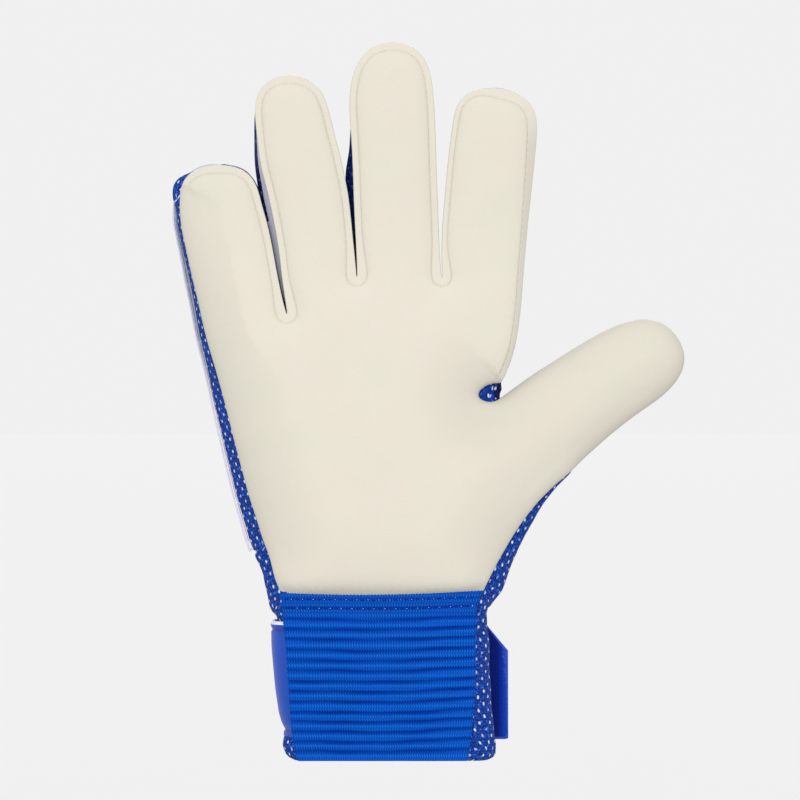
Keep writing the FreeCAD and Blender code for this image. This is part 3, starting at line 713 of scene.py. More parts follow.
def strap_mat():
    m = Mat("strap_face", Coat_Weight=0.12, Coat_Roughness=0.3, Specular_IOR_Level=0.25, Sheen_Weight=0.0)
    u, v = m.xy()
    weave = m.math("ADD", m.math("SINE", m.math("MULTIPLY", m.math("ADD", u, v), 2 * math.pi / 0.0007)),
                   m.math("SINE", m.math("MULTIPLY", m.math("SUBTRACT", u, v), 2 * math.pi / 0.0007)))
    n = m.noise(120, 3)
    c = m.mix(m.ramp(n, 0.35, 0.68), lin(42, 74, 172), lin(46, 79, 178))
    # the strap's own colour is bluer beside the elastic and purpler from the fold on; the purple on the fold also
    # stands for a painted sheen
    c = m.mix(m.ramp(u, 0.0045, 0.0125), lin(6, 64, 158), c)
    c = m.mix(m.ramp(weave, -1.2, 1.2, 0.12, 0.0), c, lin(26, 50, 140))
    # painted shade down in the stitched groove along the strap's edges and free end
    groove_and_painted_shade = m.attr("groove_and_painted_shade")
    m.color(m.mix(m.math("MULTIPLY", groove_and_painted_shade, 0.8), c, lin(20, 40, 132)))
    m.rough(m.ramp(m.noise(700, 2), 0.3, 0.7, 0.36, 0.5))
    return m.bump(m.math("ADD", m.math("MULTIPLY", weave, 0.2), m.noise(900, 2)), 0.00005, 0.6).m


def hook_mat():
    m = Mat("hook_tape", Sheen_Weight=0.0, Specular_IOR_Level=0.1)
    u, v = m.xy()
    row = m.math("ABSOLUTE", m.math("SINE", m.math("MULTIPLY", u, math.pi / 0.0012)))
    s = m.noise(1900, 4, 0.7)
    k = m.cells(1500)
    c = m.mix(m.ramp(row, 0.0, 0.5, 0.5, 1.0), lin(0, 8, 82), lin(0, 24, 114))
    c = m.mix(m.ramp(u, 0.0415, 0.0450, 0.0, 0.85), c, lin(4, 62, 180))
    c = m.mix(m.ramp(s, 0.5, 0.72, 0.0, 0.6), c, lin(8, 44, 136))
    m.color(m.mix(m.ramp(k, 0.02, 0.16, 0.16, 0.0), c, lin(40, 80, 180)))
    m.rough(m.ramp(s, 0.3, 0.7, 0.5, 0.8))
    h = m.math("ADD", m.math("MULTIPLY", row, 0.22), m.math("ADD", s, m.math("MULTIPLY", k, 0.6)))
    return m.bump(h, 0.00045, 0.9).m


def pile_mat():
    m = Mat("loop_pile", Sheen_Weight=0.1, Sheen_Roughness=0.5, Specular_IOR_Level=0.1)
    s, k = m.noise(1500, 4, 0.7), m.cells(1100)
    c = m.mix(m.ramp(s, 0.35, 0.7), lin(6, 28, 104), lin(24, 70, 176))
    m.color(m.mix(m.ramp(k, 0.05, 0.4, 0.5, 0.0), c, lin(8, 26, 90)))
    m.rough(m.ramp(s, 0.3, 0.7, 0.75, 0.95))
    return m.bump(m.math("ADD", s, k), 0.0006, 0.9).m


def cloth_mat(name, a, b, scale=900.0, rough=(0.7, 0.85), depth=0.00015, sheen=0.03):
    m = Mat(name, Sheen_Weight=sheen, Sheen_Roughness=0.5, Specular_IOR_Level=0.12)
    u, v = m.xy()
    w = m.math("MULTIPLY", m.math("SINE", m.math("MULTIPLY", u, 2 * math.pi / 0.0009)), m.math("SINE", m.math("MULTIPLY", v, 2 * math.pi / 0.0009)))
    s = m.noise(scale, 3, 0.6)
    m.color(m.mix(m.ramp(m.math("ADD", m.math("MULTIPLY", w, 0.25), s), 0.2, 0.8), a, b))
    m.rough(m.ramp(s, 0.3, 0.7, *rough))
    return m.bump(m.math("ADD", m.math("MULTIPLY", w, 0.4), s), depth, 0.7).m


def foam_edge(name):
    """The raw edge and inside face of the back's foam: grey fabric backing, paler towards the wrist; the greyer tone
    from about 125 mm up is painted shade.
    """
    m = Mat(name, Sheen_Weight=0.03, Specular_IOR_Level=0.12)
    u, v = m.xy()
    s = m.noise(900, 3, 0.6)
    # painted shade: the backing is greyer from about 125 mm up
    up = m.ramp(v, 0.125, 0.165)
    a = m.mix(up, lin(210, 203, 211), lin(146, 151, 166))
    b = m.mix(up, lin(218, 212, 218), lin(156, 160, 174))
    m.color(m.mix(m.ramp(s, 0.25, 0.75), a, b))
    m.rough(m.ramp(s, 0.3, 0.7, 0.7, 0.85))
    return m.bump(m.math("ADD", s, m.cells(1300)), 0.00006, 0.5).m


def foam_mat(name, a, b, groove_color):
    m = Mat(name, Sheen_Weight=0.05, Sheen_Roughness=0.5, Specular_IOR_Level=0.3)
    n, f = m.noise(45, 3), m.noise(1400, 3, 0.6)
    c = m.mix(m.ramp(n, 0.35, 0.66), a, b)
    c = m.mix(m.ramp(f, 0.5, 0.75, 0.0, 0.12), c, groove_color)
    g = m.attr("groove_and_painted_shade")
    m.color(m.mix(m.ramp(g, 0.25, 0.75), c, groove_color))
    m.rough(m.ramp(m.noise(300, 3), 0.3, 0.7, 0.5, 0.64))
    return m.bump(m.math("ADD", f, m.math("MULTIPLY", m.cells(1300), 0.5)), 0.00005, 0.7).m


M_PALM = latex("latex_palm", lin(199, 195, 181), lin(201, 194, 182), lin(198, 195, 179), lin(173, 165, 146))
M_FOAM = foam_mat("foam_back", lin(208, 208, 220), lin(200, 200, 215), lin(10, 58, 160))
M_BACKING = foam_edge("foam_backing")
M_LINING = cloth_mat("lining_knit", lin(180, 180, 198), lin(204, 204, 218), 800)
M_EDGE = cloth_mat("cut_edge", lin(172, 170, 188), lin(196, 194, 208), 1200)
M_THREAD = cloth_mat("thread_cream", lin(198, 192, 174), lin(210, 205, 190), 2500, depth=0.00005)
M_THREAD_B = cloth_mat("thread_blue", lin(16, 52, 160), lin(48, 96, 206), 2500, depth=0.00005)
M_THREAD_W = cloth_mat("thread_white", lin(176, 190, 224), lin(214, 220, 238), 2500, depth=0.00005)
M_THREAD_D = cloth_mat("thread_dark", lin(4, 20, 84), lin(10, 44, 140), 2500, depth=0.00005)
M_MESH = knit_mesh("side_mesh")
M_MESH_PAINTED_SHADE = painted_shade_mesh("side_mesh_painted_shade")
M_ELASTIC = elastic_mat()
M_STRAP = strap_mat()
M_WHITE_EDGE = cloth_mat("strap_core", lin(206, 206, 222), lin(220, 220, 232), 1400)
M_STRAP_IN = cloth_mat("strap_inner", lin(30, 54, 150), lin(52, 82, 186), 1000)
M_HOOK = hook_mat()
M_PILE = pile_mat()
M_TAPE = cloth_mat("hem_tape", lin(12, 50, 150), lin(30, 84, 190), 1000)

# ------------------------------------------------------------------ the palm's outline
def notch(a, b, n=7):
    """The rounded foot of a slit, from a round to b underneath."""
    a, b = np.array(a), np.array(b)
    c, r = (a + b) / 2, np.hypot(*(b - a)) / 2
    u = (a - c) / r
    g = np.linspace(0, math.pi, n + 2)[1:-1]
    down = np.array([-u[1], u[0]])
    if down[1] > 0:
        down = -down
    return c + r * (np.cos(g)[:, None] * u + np.sin(g)[:, None] * down)


STEP = 1.0
LEFT = [(x + np.interp(z, [122, 132, 178, 186, 198, 204, 212, 217], [0, 0.35, 0.35, 0.1, 0.1, 0.4, 0.4, 0]), z) for x, z in far([(-39.3, 57.3)] + LEFT, -4.9)]
THUMB = [tuple(q) for q in far(THUMB + [(33.6, 57.3)], np.interp(np.arange(len(THUMB) + 1), [0, 2, 33, 36, 60], [-4.9, -2.0, -2.0, -4.9, -4.9]))]
LITTLE = [tuple(q) for q in far(LITTLE, np.interp(np.arange(len(LITTLE)), [0, 3], [-4.9, -8.0]))]
RING, MIDDLE = ([tuple(p) for p in far(q, -8.0)] for q in (RING, MIDDLE))
INDEX = [tuple(q) for q in far(INDEX, np.interp(np.arange(len(INDEX)), [len(INDEX) - 3, len(INDEX) - 1], [-8.0, -4.9]))]
POCKET = [tuple(q) for q in far(POCKET, -4.9)]
sL, sl, sR, sM, sI = (spline(q, STEP) for q in (LEFT, LITTLE, RING, MIDDLE, INDEX))
sP = spline(POCKET, 0.7, 0.8)
sT = spline(THUMB, STEP, 2.5)
bottom = resample(np.array([THUMB[-1], LEFT[0]]), 1.6)
palm = Loop([
    (sL[:-1], "LEFT"), (sl, "LITTLE"), (notch(sl[-1], sR[0]), "FORK1"), (sR, "RING"),
    (notch(sR[-1], sM[0]), "FORK2"), (sM, "MIDDLE"), (notch(sM[-1], sI[0]), "FORK3"),
    (sI[:-1], "INDEX"), (sP[:-1], "POCKET"), (sT[:-1], "THUMB"), (bottom[:-1], "BOTTOM")])
Pz = palm.p[:, 1]
seg = palm.seg
first = {s: int(np.nonzero(seg == s)[0][0]) for s in dict.fromkeys(seg)}
count = {s: int((seg == s).sum()) for s in first}
tip = {s: int(first[s] + np.argmax(Pz[seg == s])) for s in ("LITTLE", "RING", "MIDDLE", "INDEX")}
fork = {s: first[s] + 3 for s in ("FORK1", "FORK2", "FORK3")}
thumb_tip = int(first["THUMB"] + np.argmax(palm.p[seg == "THUMB"][:, 0]))


def arc_from(i):
    d = np.abs(palm.arc - palm.arc[i])
    return np.minimum(d, palm.total - d)


idx = np.arange(palm.n)
lower_thumb = (seg == "THUMB") & (idx > thumb_tip) & (Pz < 109.9)
w_flange = np.isin(seg, ["LITTLE", "FORK1", "RING", "FORK2", "MIDDLE", "FORK3", "INDEX"]).astype(float)
w_wrap = ((seg == "THUMB") & ~lower_thumb).astype(float)
w_flange[(seg == "LITTLE") & (idx < first["LITTLE"] + 2)] = 0
w_flange, w_wrap = palm.smooth(w_flange, 1.0), palm.smooth(w_wrap, 2.5)
w_roll = np.clip(1 - w_flange - w_wrap, 0, 1)
index_left = ((seg == "INDEX") & (idx < tip["INDEX"])).astype(float)
index_right = ((seg == "INDEX") & (idx >= tip["INDEX"])).astype(float)
ds = 2.3 + 0 * Pz
ds -= 0.55 * index_left
ds += index_right * np.interp(Pz, [142, 200, 235], [-0.5, -0.3, 1.1])
for f in tip.values():
    ds += 0.75 * np.exp(-(arc_from(f) / 9) ** 2)
for f in fork.values():
    ds += 1.35 * np.exp(-(arc_from(f) / 8) ** 2)
ds = palm.smooth(ds, 2.5)

FL, ROLL, WRAP = (2.3, 10.5), (5.8, 11.5), (8.6, 16.5)


curl = palm.smooth(0.25 + index_right * np.interp(Pz, [142, 150, 235, 245], [0.2, 0.9, 1.5, 0.6]), 3)


def crown(d, h, w):
    t = np.clip(d / w, 0, 1)
    return h * (1 - np.sqrt(np.clip(1 - (1 - t) ** 2, 0, 1)))


def palm_depth(d, own, p):
    wf, wr, ww, e = (palm.at(a, own) for a in (w_flange, w_roll, w_wrap, ds))
    tilt = palm.at(curl, own)
    flat = FL[0] + 0.5 * np.clip(0.22 - d, 0, 1) + tilt * np.clip(1 - d / e, 0, 1)
    y = wf * np.where(d < e, flat, crown(d - e, *FL)) + wr * (crown(d, 4.7, ROLL[1]) + (ROLL[0] - 4.7) * (1 - smooth01(d / 28))) + ww * crown(d, *WRAP)
    return y, wf, e


def build_palm():
    fl = np.stack([0 * ds + 0.16, 0 * ds + 0.55, 0 * ds + 1.1, ds - 0.42, ds - 0.17, ds, ds + 0.17, ds + 0.42,
                   ds + 0.95, ds + 1.7, ds + 2.7, ds + 3.9, ds + 5.4, ds + 7.0], 1)
    ro = np.tile([0.07, 0.22, 0.45, 0.8, 1.2, 1.7, 2.3, 3.0, 3.8, 4.7, 5.7, 6.8, 8.0, 9.4], (palm.n, 1))
    dd = w_flange[:, None] * fl + (1 - w_flange)[:, None] * ro
    v, tri, where = sheet_mesh(palm, dd, 9, 1.7, hard=(4, 5, 6))
    d, own = palm.near(v)
    y, wf, e = palm_depth(d, own, v)
    y = relax(v, tri, y, 0.5 * smooth01((d - e * wf - 4.5) / 4), 14)
    # the stitched groove, then the slight unevenness of soft latex laid flat
    deep = smooth01((d - e * wf - 1) / 8)
    y = y + deep * (0.22 * waves(v, 55, 3) + 0.13 * waves(v, 24, 5))
    y = y + 1.25 * smooth01((67.5 - v[:, 1]) / 5)
    g = wf * np.exp(-((d - e) / 0.2) ** 2)
    y = y - TILT + 0.16 * g
    y = y + wf * 0.10 * np.exp(-((d - e - 0.9) / 0.6) ** 2) * waves(v, 3.4, 11)
    t_in = np.interp(d, [0, 0.5], [1.0, 1.0]) * (1.6 * wf + 3.0 * (1 - wf))
    t_in = np.where(d > e, 1.6 + (3.2 - 1.6) * smooth01((d - e) / 5), t_in) * wf + 3.0 * (1 - wf)
    k = 8
    a = np.linspace(0, 1, k + 1)[1:]
    rim_f = np.c_[0.16 * np.sin(a * math.pi), 1.6 * (1 - np.cos(a * math.pi)) / 2]
    rim_r = np.c_[-3.0 * a ** 2, 0.75 * np.sin(a * math.pi)]
    th = np.array([12, 24, 36, 46, 50, 48, 32, 12]) * math.pi / 180
    rim_w = np.c_[-WRAP[1] * (1 - np.cos(th)), 9.6 * np.sin(th)]
    rim_w[5:, 0] = [-6.9, -5.4, -3.4]
    rim_w[5:, 1] = [6.2, 4.2, 1.6]
    rim = (w_flange[:, None, None] * rim_f + w_roll[:, None, None] * rim_r + w_wrap[:, None, None] * rim_w)
    lay = Layer()
    outer, inner, rows = shell(lay, palm, v, tri, where, y, -1, t_in, rim, mat_in=2)
    # threads in the groove
    pts, ok = offset_rows(palm, ds[:, None])
    sel = ok[:, 0] & (w_flange > 0.6)
    path = pts[sel, 0]
    path = path[thin(path, 0.3)]
    gaps = np.nonzero(np.hypot(*np.diff(path, axis=0).T) > 6)[0]
    for part in np.split(path, gaps + 1):
        if len(part) < 6:
            continue
        part = resample(gauss(part, 0.8, 1.0), 0.7)
        dq, oq = palm.near(part)
        yq = palm_depth(np.full(len(part), 99.0), oq, part)[0] * 0
        wfq, eq = palm.at(w_flange, oq), palm.at(ds, oq)
        yq = -TILT + FL[0] * wfq + 0.2
        p3 = np.c_[part[:, 0], yq, part[:, 1]]
        nn = np.tile([0.0, -1.0, 0.0], (len(p3), 1))
        capsules(lay, p3, nn, 2.3, 0.17, 1, lambda p: int(region(np.array([[p[0], p[2]]]))[0]), lift=-0.04, gap=2.9)
    return lay.done(), outer, where, d, own


# ------------------------------------------------------------------ the back's outline, matched to the palm's samples
ring_left = ((seg == "RING") & (idx < tip["RING"])).astype(float)
mid_left = ((seg == "MIDDLE") & (idx < tip["MIDDLE"])).astype(float)
left = (seg == "LEFT") | ((seg == "LITTLE") & (idx < tip["LITTLE"]))
delta = np.full(palm.n, -0.7)
d_left = np.interp(Pz, [60, 83.25, 124.5, 143, 162, 173, 182.6, 192, 201, 206, 211, 215, 218, 222],
                   [5.6, 6.1, 4.9, 3.9, 3.0, 2.7, 2.5, 2.35, 2.2, 2.0, 1.1, 0.4, -0.1, -0.3])
delta[left] = (d_left + np.interp(Pz, [122, 132, 178, 186, 198, 204, 212, 217], [0, 0.35, 0.35, 0.1, 0.1, 0.4, 0.4, 0]))[left]
delta += ring_left * np.interp(Pz, [168, 176, 200, 212, 222, 236, 246], [0, 1.6, 2.6, 2.6, 2.2, 0.8, 0])
delta += mid_left * np.interp(Pz, [182, 190, 212, 219, 229, 240], [0, 1.4, 2.4, 2.3, 1.0, 0])
for f in ("LITTLE", "INDEX"):
    delta += 0.62 * np.exp(-(arc_from(tip[f]) / 12) ** 2)
delta[w_wrap > 0.5] = -4.6
sil_thumb = np.interp(Pz, [57.3, 60, 63, 66.75, 71.25, 77.25, 84.75, 91.5, 97.5, 103.9, 109.9],
                      [3.6, 3.8, 4.8, 5.8, 5.2, 4.3, 3.6, 2.9, 1.7, 0.6, -0.2])
delta[lower_thumb] = (sil_thumb - 2.6)[lower_thumb]
delta = palm.smooth(delta, 2.0)
B = palm.p + palm.nor * delta[:, None]
pk = seg == "POCKET"
u = np.linspace(0, 1, pk.sum())
pa, pb = B[first["POCKET"] - 1], B[first["THUMB"] + 4]
arc_in = np.array([(41.9, 141.3), (41.7, 139.4), (41.3, 137.4)])
B[pk] = resample(spline([tuple(palm.p[first["POCKET"] - 1] + [-0.5, 0.4]), *map(tuple, arc_in), tuple(palm.p[first["THUMB"] + 1] + [-0.4, -1.5])], 0.2, 0.5), 0.2)[
    (u * (len(resample(spline([tuple(palm.p[first["POCKET"] - 1] + [-0.5, 0.4]), *map(tuple, arc_in), tuple(palm.p[first["THUMB"] + 1] + [-0.4, -1.5])], 0.2, 0.5), 0.2)) - 1)).astype(int)]
B_seen = B.copy()
B = far(B, 6.0)
Bn = normals2(B)
for k, (f, g, s) in enumerate((("LITTLE", "RING", "FORK1"), ("RING", "MIDDLE", "FORK2"), ("MIDDLE", "INDEX", "FORK3"))):
    foot_at = (palm.p[fork[s]] + B[fork[s]]) / 2
    top = max(Pz[tip[f]], Pz[tip[g]])
    hs = np.arange(foot_at[1] + 4, top + 2, 1.0)
    edge = []
    for name, m, pick_x, far_x in ((f, (seg == f) & (idx > tip[f]), max, -1e3), (g, (seg == g) & (idx < tip[g]), min, 1e3)):
        rows_ = []
        for q in (palm.p, B):
            e = q[m][np.argsort(q[m][:, 1])]
            rows_.append(np.interp(hs, e[:, 1], e[:, 0]))
        rows_ = np.array(rows_)
        x_ = rows_.max(0) if pick_x is max else rows_.min(0)
        edge.append(np.where(hs < Pz[tip[name]] - 1.5, x_, np.nan))
    xl, xr = edge
    mid_x = np.where(np.isnan(xl), xr - 1.5, np.where(np.isnan(xr), xl + 1.5, (xl + xr) / 2))
    ok_ = ~np.isnan(mid_x)
    MIDS.append((np.r_[foot_at[1] - 8, foot_at[1], hs[ok_]], np.r_[foot_at[0], foot_at[0], mid_x[ok_]]))

PANEL_Z = 80.5
iL = int(np.nonzero((seg == "LEFT") & (Pz > PANEL_Z))[0][0])
iR = int(np.nonzero((seg == "THUMB") & (idx > thumb_tip) & (Pz > PANEL_Z))[0][-1])
span = np.arange(iL, iR + 1)
backp = B[span]
keep = np.r_[True, np.hypot(*np.diff(backp, axis=0).T) > 0.12]
backp = backp[keep]
foot = spline([tuple(backp[-1]), (backp[-1][0] - 3, 80.4), (28, 82.6), (12, 84.6), (-6, 85.2), (-24, 83.8), (-42, 80.9), (backp[0][0] + 2.2, 79.6), tuple(backp[0])], 1.2, 1.2)
back = Loop([(backp, "SIDE"), (foot[1:-1], "FOOT")])

PLAT = 9.0
BFL = (2.3, 9.0)


def channels():
    """Moulded grooves on the back: a plain layout of our own, two flex lines on each finger, one over the thumb and arcs over the hand."""
    out = []
    for f, (b, al, L1, lean, hw) in FINGERS.items():
        for s, reach in ((L1 * 0.5, 0.72), (L1 - 2.0, 0.72), (L1 + 15, 0.66)):
            if f == "thumb":
                s, reach = s * 0.96, reach * 0.62
            q = np.array([[world(f, s + 1.6 * (1 - (tt / reach) ** 2), tt * hw)[k] for k in (0, 2)] for tt in np.linspace(-reach, reach, 9)])
            out.append(q)
    out.append(np.array([(-60, 160), (-47, 164), (-30, 171), (-12, 175), (6, 176), (22, 174.5), (38, 170)], float))
    out.append(np.array([(-55, 146), (-40, 152), (-20, 158), (0, 160.5), (20, 159), (40, 152), (56, 138)], float))
    out.append(np.array([(-44, 140), (-37, 120), (-29, 104), (-20, 94)], float))
    out.append(np.array([(-20, 147), (-16, 126), (-12, 108), (-8, 95)], float))
    out.append(np.array([(4, 149), (4, 128), (3.5, 110), (3, 96)], float))
    out.append(np.array([(28, 145), (23, 126), (18, 110), (13, 96)], float))
    out.append(np.array([(57, 128), (49, 117), (39, 106), (27, 95)], float))
    return [far(spline([tuple(x) for x in q], 0.9, 0.0), 9.0) for q in out]


def build_back():
    n = back.n
    bd = np.full(n, 1.9)
    side = back.seg == "SIDE"
    fl = np.tile([0.14, 0.5, 1.0, 1.5, 1.72, 1.9, 2.08, 2.3, 2.8, 3.5, 4.5, 5.7, 7.2, 9.0], (n, 1))
    ch = channels()
    extra = []
    for q in ch:
        nn = normals2(q, closed=False)
        for o in (-1.3, -0.85, -0.45, 0, 0.45, 0.85, 1.3):
            extra.append(q + nn * o)
    extra = np.concatenate(extra)
    extra = extra[thin(extra, 0.33)]
    v, tri, where = sheet_mesh(back, fl, 9, 1.9, extra=extra, hard=(4, 5, 6))
    d, own = back.near(v)
    h = np.where(d < 1.9, BFL[0] + 0.5 * np.clip(0.2 - d, 0, 1), crown(d - 1.9, *BFL))
    h = relax(v, tri, h, 0.5 * smooth01((d - 6) / 4), 14)
    h = h + 0.3 * np.exp(-((d - 1.9) / 0.2) ** 2)
    dc, _ = nearest(tree(np.concatenate([resample(q, 0.25) for q in ch])), v)
    h = h + 1.05 * np.exp(-(dc / 0.85) ** 2) * smooth01((d - 2.6) / 2.5)
    h = h - 0.6 * (smooth01((dc - 0.6) / 4.0) - 0.6) * smooth01((d - 4) / 5)
    h = h - smooth01((d - 3) / 8) * (0.25 * waves(v, 48, 23) + 0.12 * waves(v, 20, 29))
    y = PLAT - h
    k = 6
    a = np.linspace(0, 1, k + 1)[1:]
    rim_f = np.c_[0.15 * np.sin(a * math.pi), 1.5 * (1 - np.cos(a * math.pi)) / 2]
    rim = np.tile(rim_f[None], (n, 1, 1))
    thick = np.where(d > 1.9, 1.5 + 1.5 * smooth01((d - 1.9) / 5), 1.5)
    lay = Layer()
    outer, inner, rows = shell(lay, back, v, tri, where, y, 1, thick, rim, mat_in=2)
    pts, ok = offset_rows(back, bd[:, None])
    path = pts[ok[:, 0], 0]
    path = path[thin(path, 0.3)]
    gaps = np.nonzero(np.hypot(*np.diff(path, axis=0).T) > 6)[0]
    for part in np.split(path, gaps + 1):
        if len(part) < 6:
            continue
        part = resample(gauss(part, 0.8, 1.0), 0.7)
        p3 = np.c_[part[:, 0], np.full(len(part), PLAT - BFL[0] - 0.2), part[:, 1]]
        capsules(lay, p3, np.tile([0.0, 1.0, 0.0], (len(p3), 1)), 2.3, 0.19, 1, lambda p: int(region(np.array([[p[0], p[2]]]))[0]), lift=0.03, gap=2.9)
    return lay.done()


# ------------------------------------------------------------------ mesh side walls
def build_walls():
    """One strip of knitted mesh all round between palm and back, in rows from palm (0) to back."""
    rows = 12
    n = palm.n
    P, N = palm.p, palm.nor
    o_a = -(ds + 0.05) * w_flange - 2.4 * w_roll - 4.4 * w_wrap
    y_a = (-TILT + FL[0] + 1.5) * w_flange + (-TILT + ROLL[0] + 0.25) * w_roll + 0.0 * w_wrap
    y_a = np.where(Pz < 71, y_a + (np.interp(Pz, [57.3, 63, 71], [-8.9, -7.2, 0]) - y_a) * np.interp(Pz, [57.3, 63, 71], [1, 0.8, 0]), y_a)
    A = P + N * o_a[:, None]
    inset = np.full(n, 1.75)
    inset[w_wrap > 0.5] = 1.0
    li = left & (Pz > PANEL_Z)
    inset[li] = np.interp(Pz, [80, 128, 140, 152, 165, 174, 182, 192, 214, 220], [1.7, 1.5, 1.3, 1.7, 1.7, 2.0, 2.1, 1.6, 1.5, 2.0])[li]
    inset = palm.smooth(inset, 2)
    C = B - Bn * inset[:, None]
    y_c = np.full(n, PLAT - BFL[0] - 1.45)
    low = ((seg == "LEFT") & (Pz < PANEL_Z)) | (lower_thumb & (Pz < PANEL_Z))
    # silhouettes of the wall
    sil = np.full(n, np.nan)
    sil_left = np.interp(Pz, [57.3, 60, 63.75, 71.25, 75, 80.25, 83], [4.4, 4.6, 4.4, 3.4, 4.0, 4.8, 4.6])
    M = (A + C) / 2 + N * 0.7
    hid = np.isin(seg, ["LITTLE", "RING", "MIDDLE", "INDEX", "FORK1", "FORK2", "FORK3"])
    M[hid] = (P - N * 0.9)[hid]
    for s in ('FORK1', 'FORK2'):
        M[seg == s] = (P + N * 1.3)[seg == s]
    lr = (seg == "LITTLE") & (idx > tip["LITTLE"])
    jag = np.random.default_rng(17).uniform(-0.2, 0.3, n)
    s_lr = np.interp(Pz, [166, 172, 178, 206, 222, 232], [0.1, 0.3, 0.75, 0.85, 0.3, -0.9]) + jag
    M[lr] = far(P + N * s_lr[:, None], 0)[lr]
    M[pk] = far(B_seen + [0.3, 0.0], 0.0)[pk]
    m_low = (seg == "LEFT") & (Pz < PANEL_Z + 0.1)
    M[m_low] = far(P + N * sil_left[:, None], 1.0)[m_low]
    M[lower_thumb] = far(P + N * sil_thumb[:, None], 1.0)[lower_thumb]
    s_ring = np.interp(Pz, [168.5, 172, 178, 190, 205, 212, 220, 229, 237, 246.5], [0.5, 0.9, 1.7, 2.6, 3.4, 3.5, 2.6, 1.6, 0.8, -0.4])
    s_mid = np.interp(Pz, [182, 186, 192, 203, 218, 222, 229.5, 241], [0.5, 0.7, 1.2, 1.9, 3.0, 2.7, 1.15, -0.3])
    rl, ml = ring_left > 0, mid_left > 0
    M[rl] = far(P + N * s_ring[:, None], 0)[rl]
    M[ml] = far(P + N * s_mid[:, None], 0)[ml]
    corner = np.abs(Pz - 214.5) < 9.5
    cl = left & corner
    s_cor = np.interp(Pz, [205, 209, 212.5, 215.5, 217.8, 219.6, 221.2], [0.4, 1.5, 2.4, 2.6, 2.1, 0.9, -0.3])
    kk = smooth01(np.interp(Pz, [205, 210], [0, 1]))[:, None]
    Mc = far(P + N * s_cor[:, None], 0)
    M[cl] = (M * (1 - kk) + Mc * kk)[cl]
    for c in (0, 1):
        M[:, c] = palm.smooth(M[:, c] - P[:, c], 1.1) + P[:, c]
    C2, yc2 = C.copy(), y_c.copy()
    C2[low] = (M - N * 2.6)[low]
    yc2[low] = 8.4
    yc2 = palm.smooth(yc2, 1.2)
    t = np.linspace(0, 1, rows + 1)
    V = np.zeros((n, rows + 1, 3))
    for j, tj in enumerate(t):
        base = A * (1 - tj) + C2 * tj
        mid = (A + C2) / 2
        V[:, j, [0, 2]] = base + (M - mid) * (4 * tj * (1 - tj)) ** 0.8
        V[:, j, 1] = y_a * (1 - tj) + yc2 * tj
    across = np.concatenate([np.zeros((n, 1)), np.cumsum(np.linalg.norm(np.diff(V, axis=1), axis=2), axis=1)], 1)
    across -= across[:, rows // 2][:, None]
    lay = Layer()
    owner = {"LEFT": "little", "LITTLE": "little", "RING": "ring", "MIDDLE": "middle", "INDEX": "index", "THUMB": "thumb"}
    reg = np.zeros(n, int)
    for s, f in owner.items():
        m = seg == s
        reg[m] = region_of(f, P[m])
    names = ["little_side_mesh", "fork_mesh_little_ring", "fork_mesh_ring_middle", "fork_mesh_middle_index", "index_side_mesh", "thumb_web_mesh", "thumb_side_mesh"]
    part = np.zeros(n, int)
    f1, f2, f3 = fork["FORK1"], fork["FORK2"], fork["FORK3"]
    part[idx > tip["LITTLE"]] = 1
    part[idx > tip["RING"]] = 2
    part[idx > tip["MIDDLE"]] = 3
    part[idx > tip["INDEX"]] = 4
    part[seg == "POCKET"] = 5
    part[(seg == "THUMB")] = 5
    part[(seg == "THUMB") & (idx > thumb_tip)] = 6
    code = np.where(reg > 0, reg, 100 + part)
    good = (w_wrap < 0.6) & (seg != "BOTTOM")
    F, R, Mt = [], [], []
    lil = (ring_left * (Pz < 236) + index_left * (Pz < 195)) > 0
    deep_lil = (ring_left * (Pz < 203)) > 0
    # dark and little_dark pick the mesh down in the slits between the fingers, which is given painted shade below
    dark = (((seg == 'RING') | (seg == 'MIDDLE')) & ((idx < tip['RING']) | (idx > tip['RING']) & (idx < tip['MIDDLE']))) | np.isin(seg, ['FORK1', 'FORK2'])
    little_dark = lr & (Pz < 236)
    for i in range(n):
        j = (i + 1) % n
        if not (good[i] and good[j]):
            continue
        for k in range(rows):
            a, b, c, e = i * (rows + 1) + k, i * (rows + 1) + k + 1, j * (rows + 1) + k + 1, j * (rows + 1) + k
            F.append((e, c, b, a))
            R.append(code[i])
            # material 2, the painted-shade copy of the mesh, fills the back rows of the thumb's web pocket
            Mt.append(1 if (lil[i] and k < (4 if deep_lil[i] else 3)) else 2 if seg[i] == "POCKET" and k > 3 else 0)
    uv = np.stack([np.repeat(palm.arc[:, None], rows + 1, 1), across], 2).reshape(-1, 2)
    lay.add(V.reshape(-1, 3), F, Mt, uv=uv, reg=R)

    def thread(points, rad, r_code, length, gap, near_rows, mat=3):
        p = resample(np.array(points, float), 0.25)
        flat = V[:, near_rows].reshape(-1, 3)
        _, k = nearest(tree(flat[:, [0, 2]]), p)
        y = gauss(np.c_[flat[k, 1], flat[k, 1]], 2.0, 0.3)[:, 0] if len(p) > 6 else flat[k, 1]
        capsules(lay, np.c_[p[:, 0], y - 0.2, p[:, 1]], np.tile([0.0, -1.0, 0.0], (len(p), 1)), length, rad, mat, lambda q: r_code, lift=0.02, gap=gap)

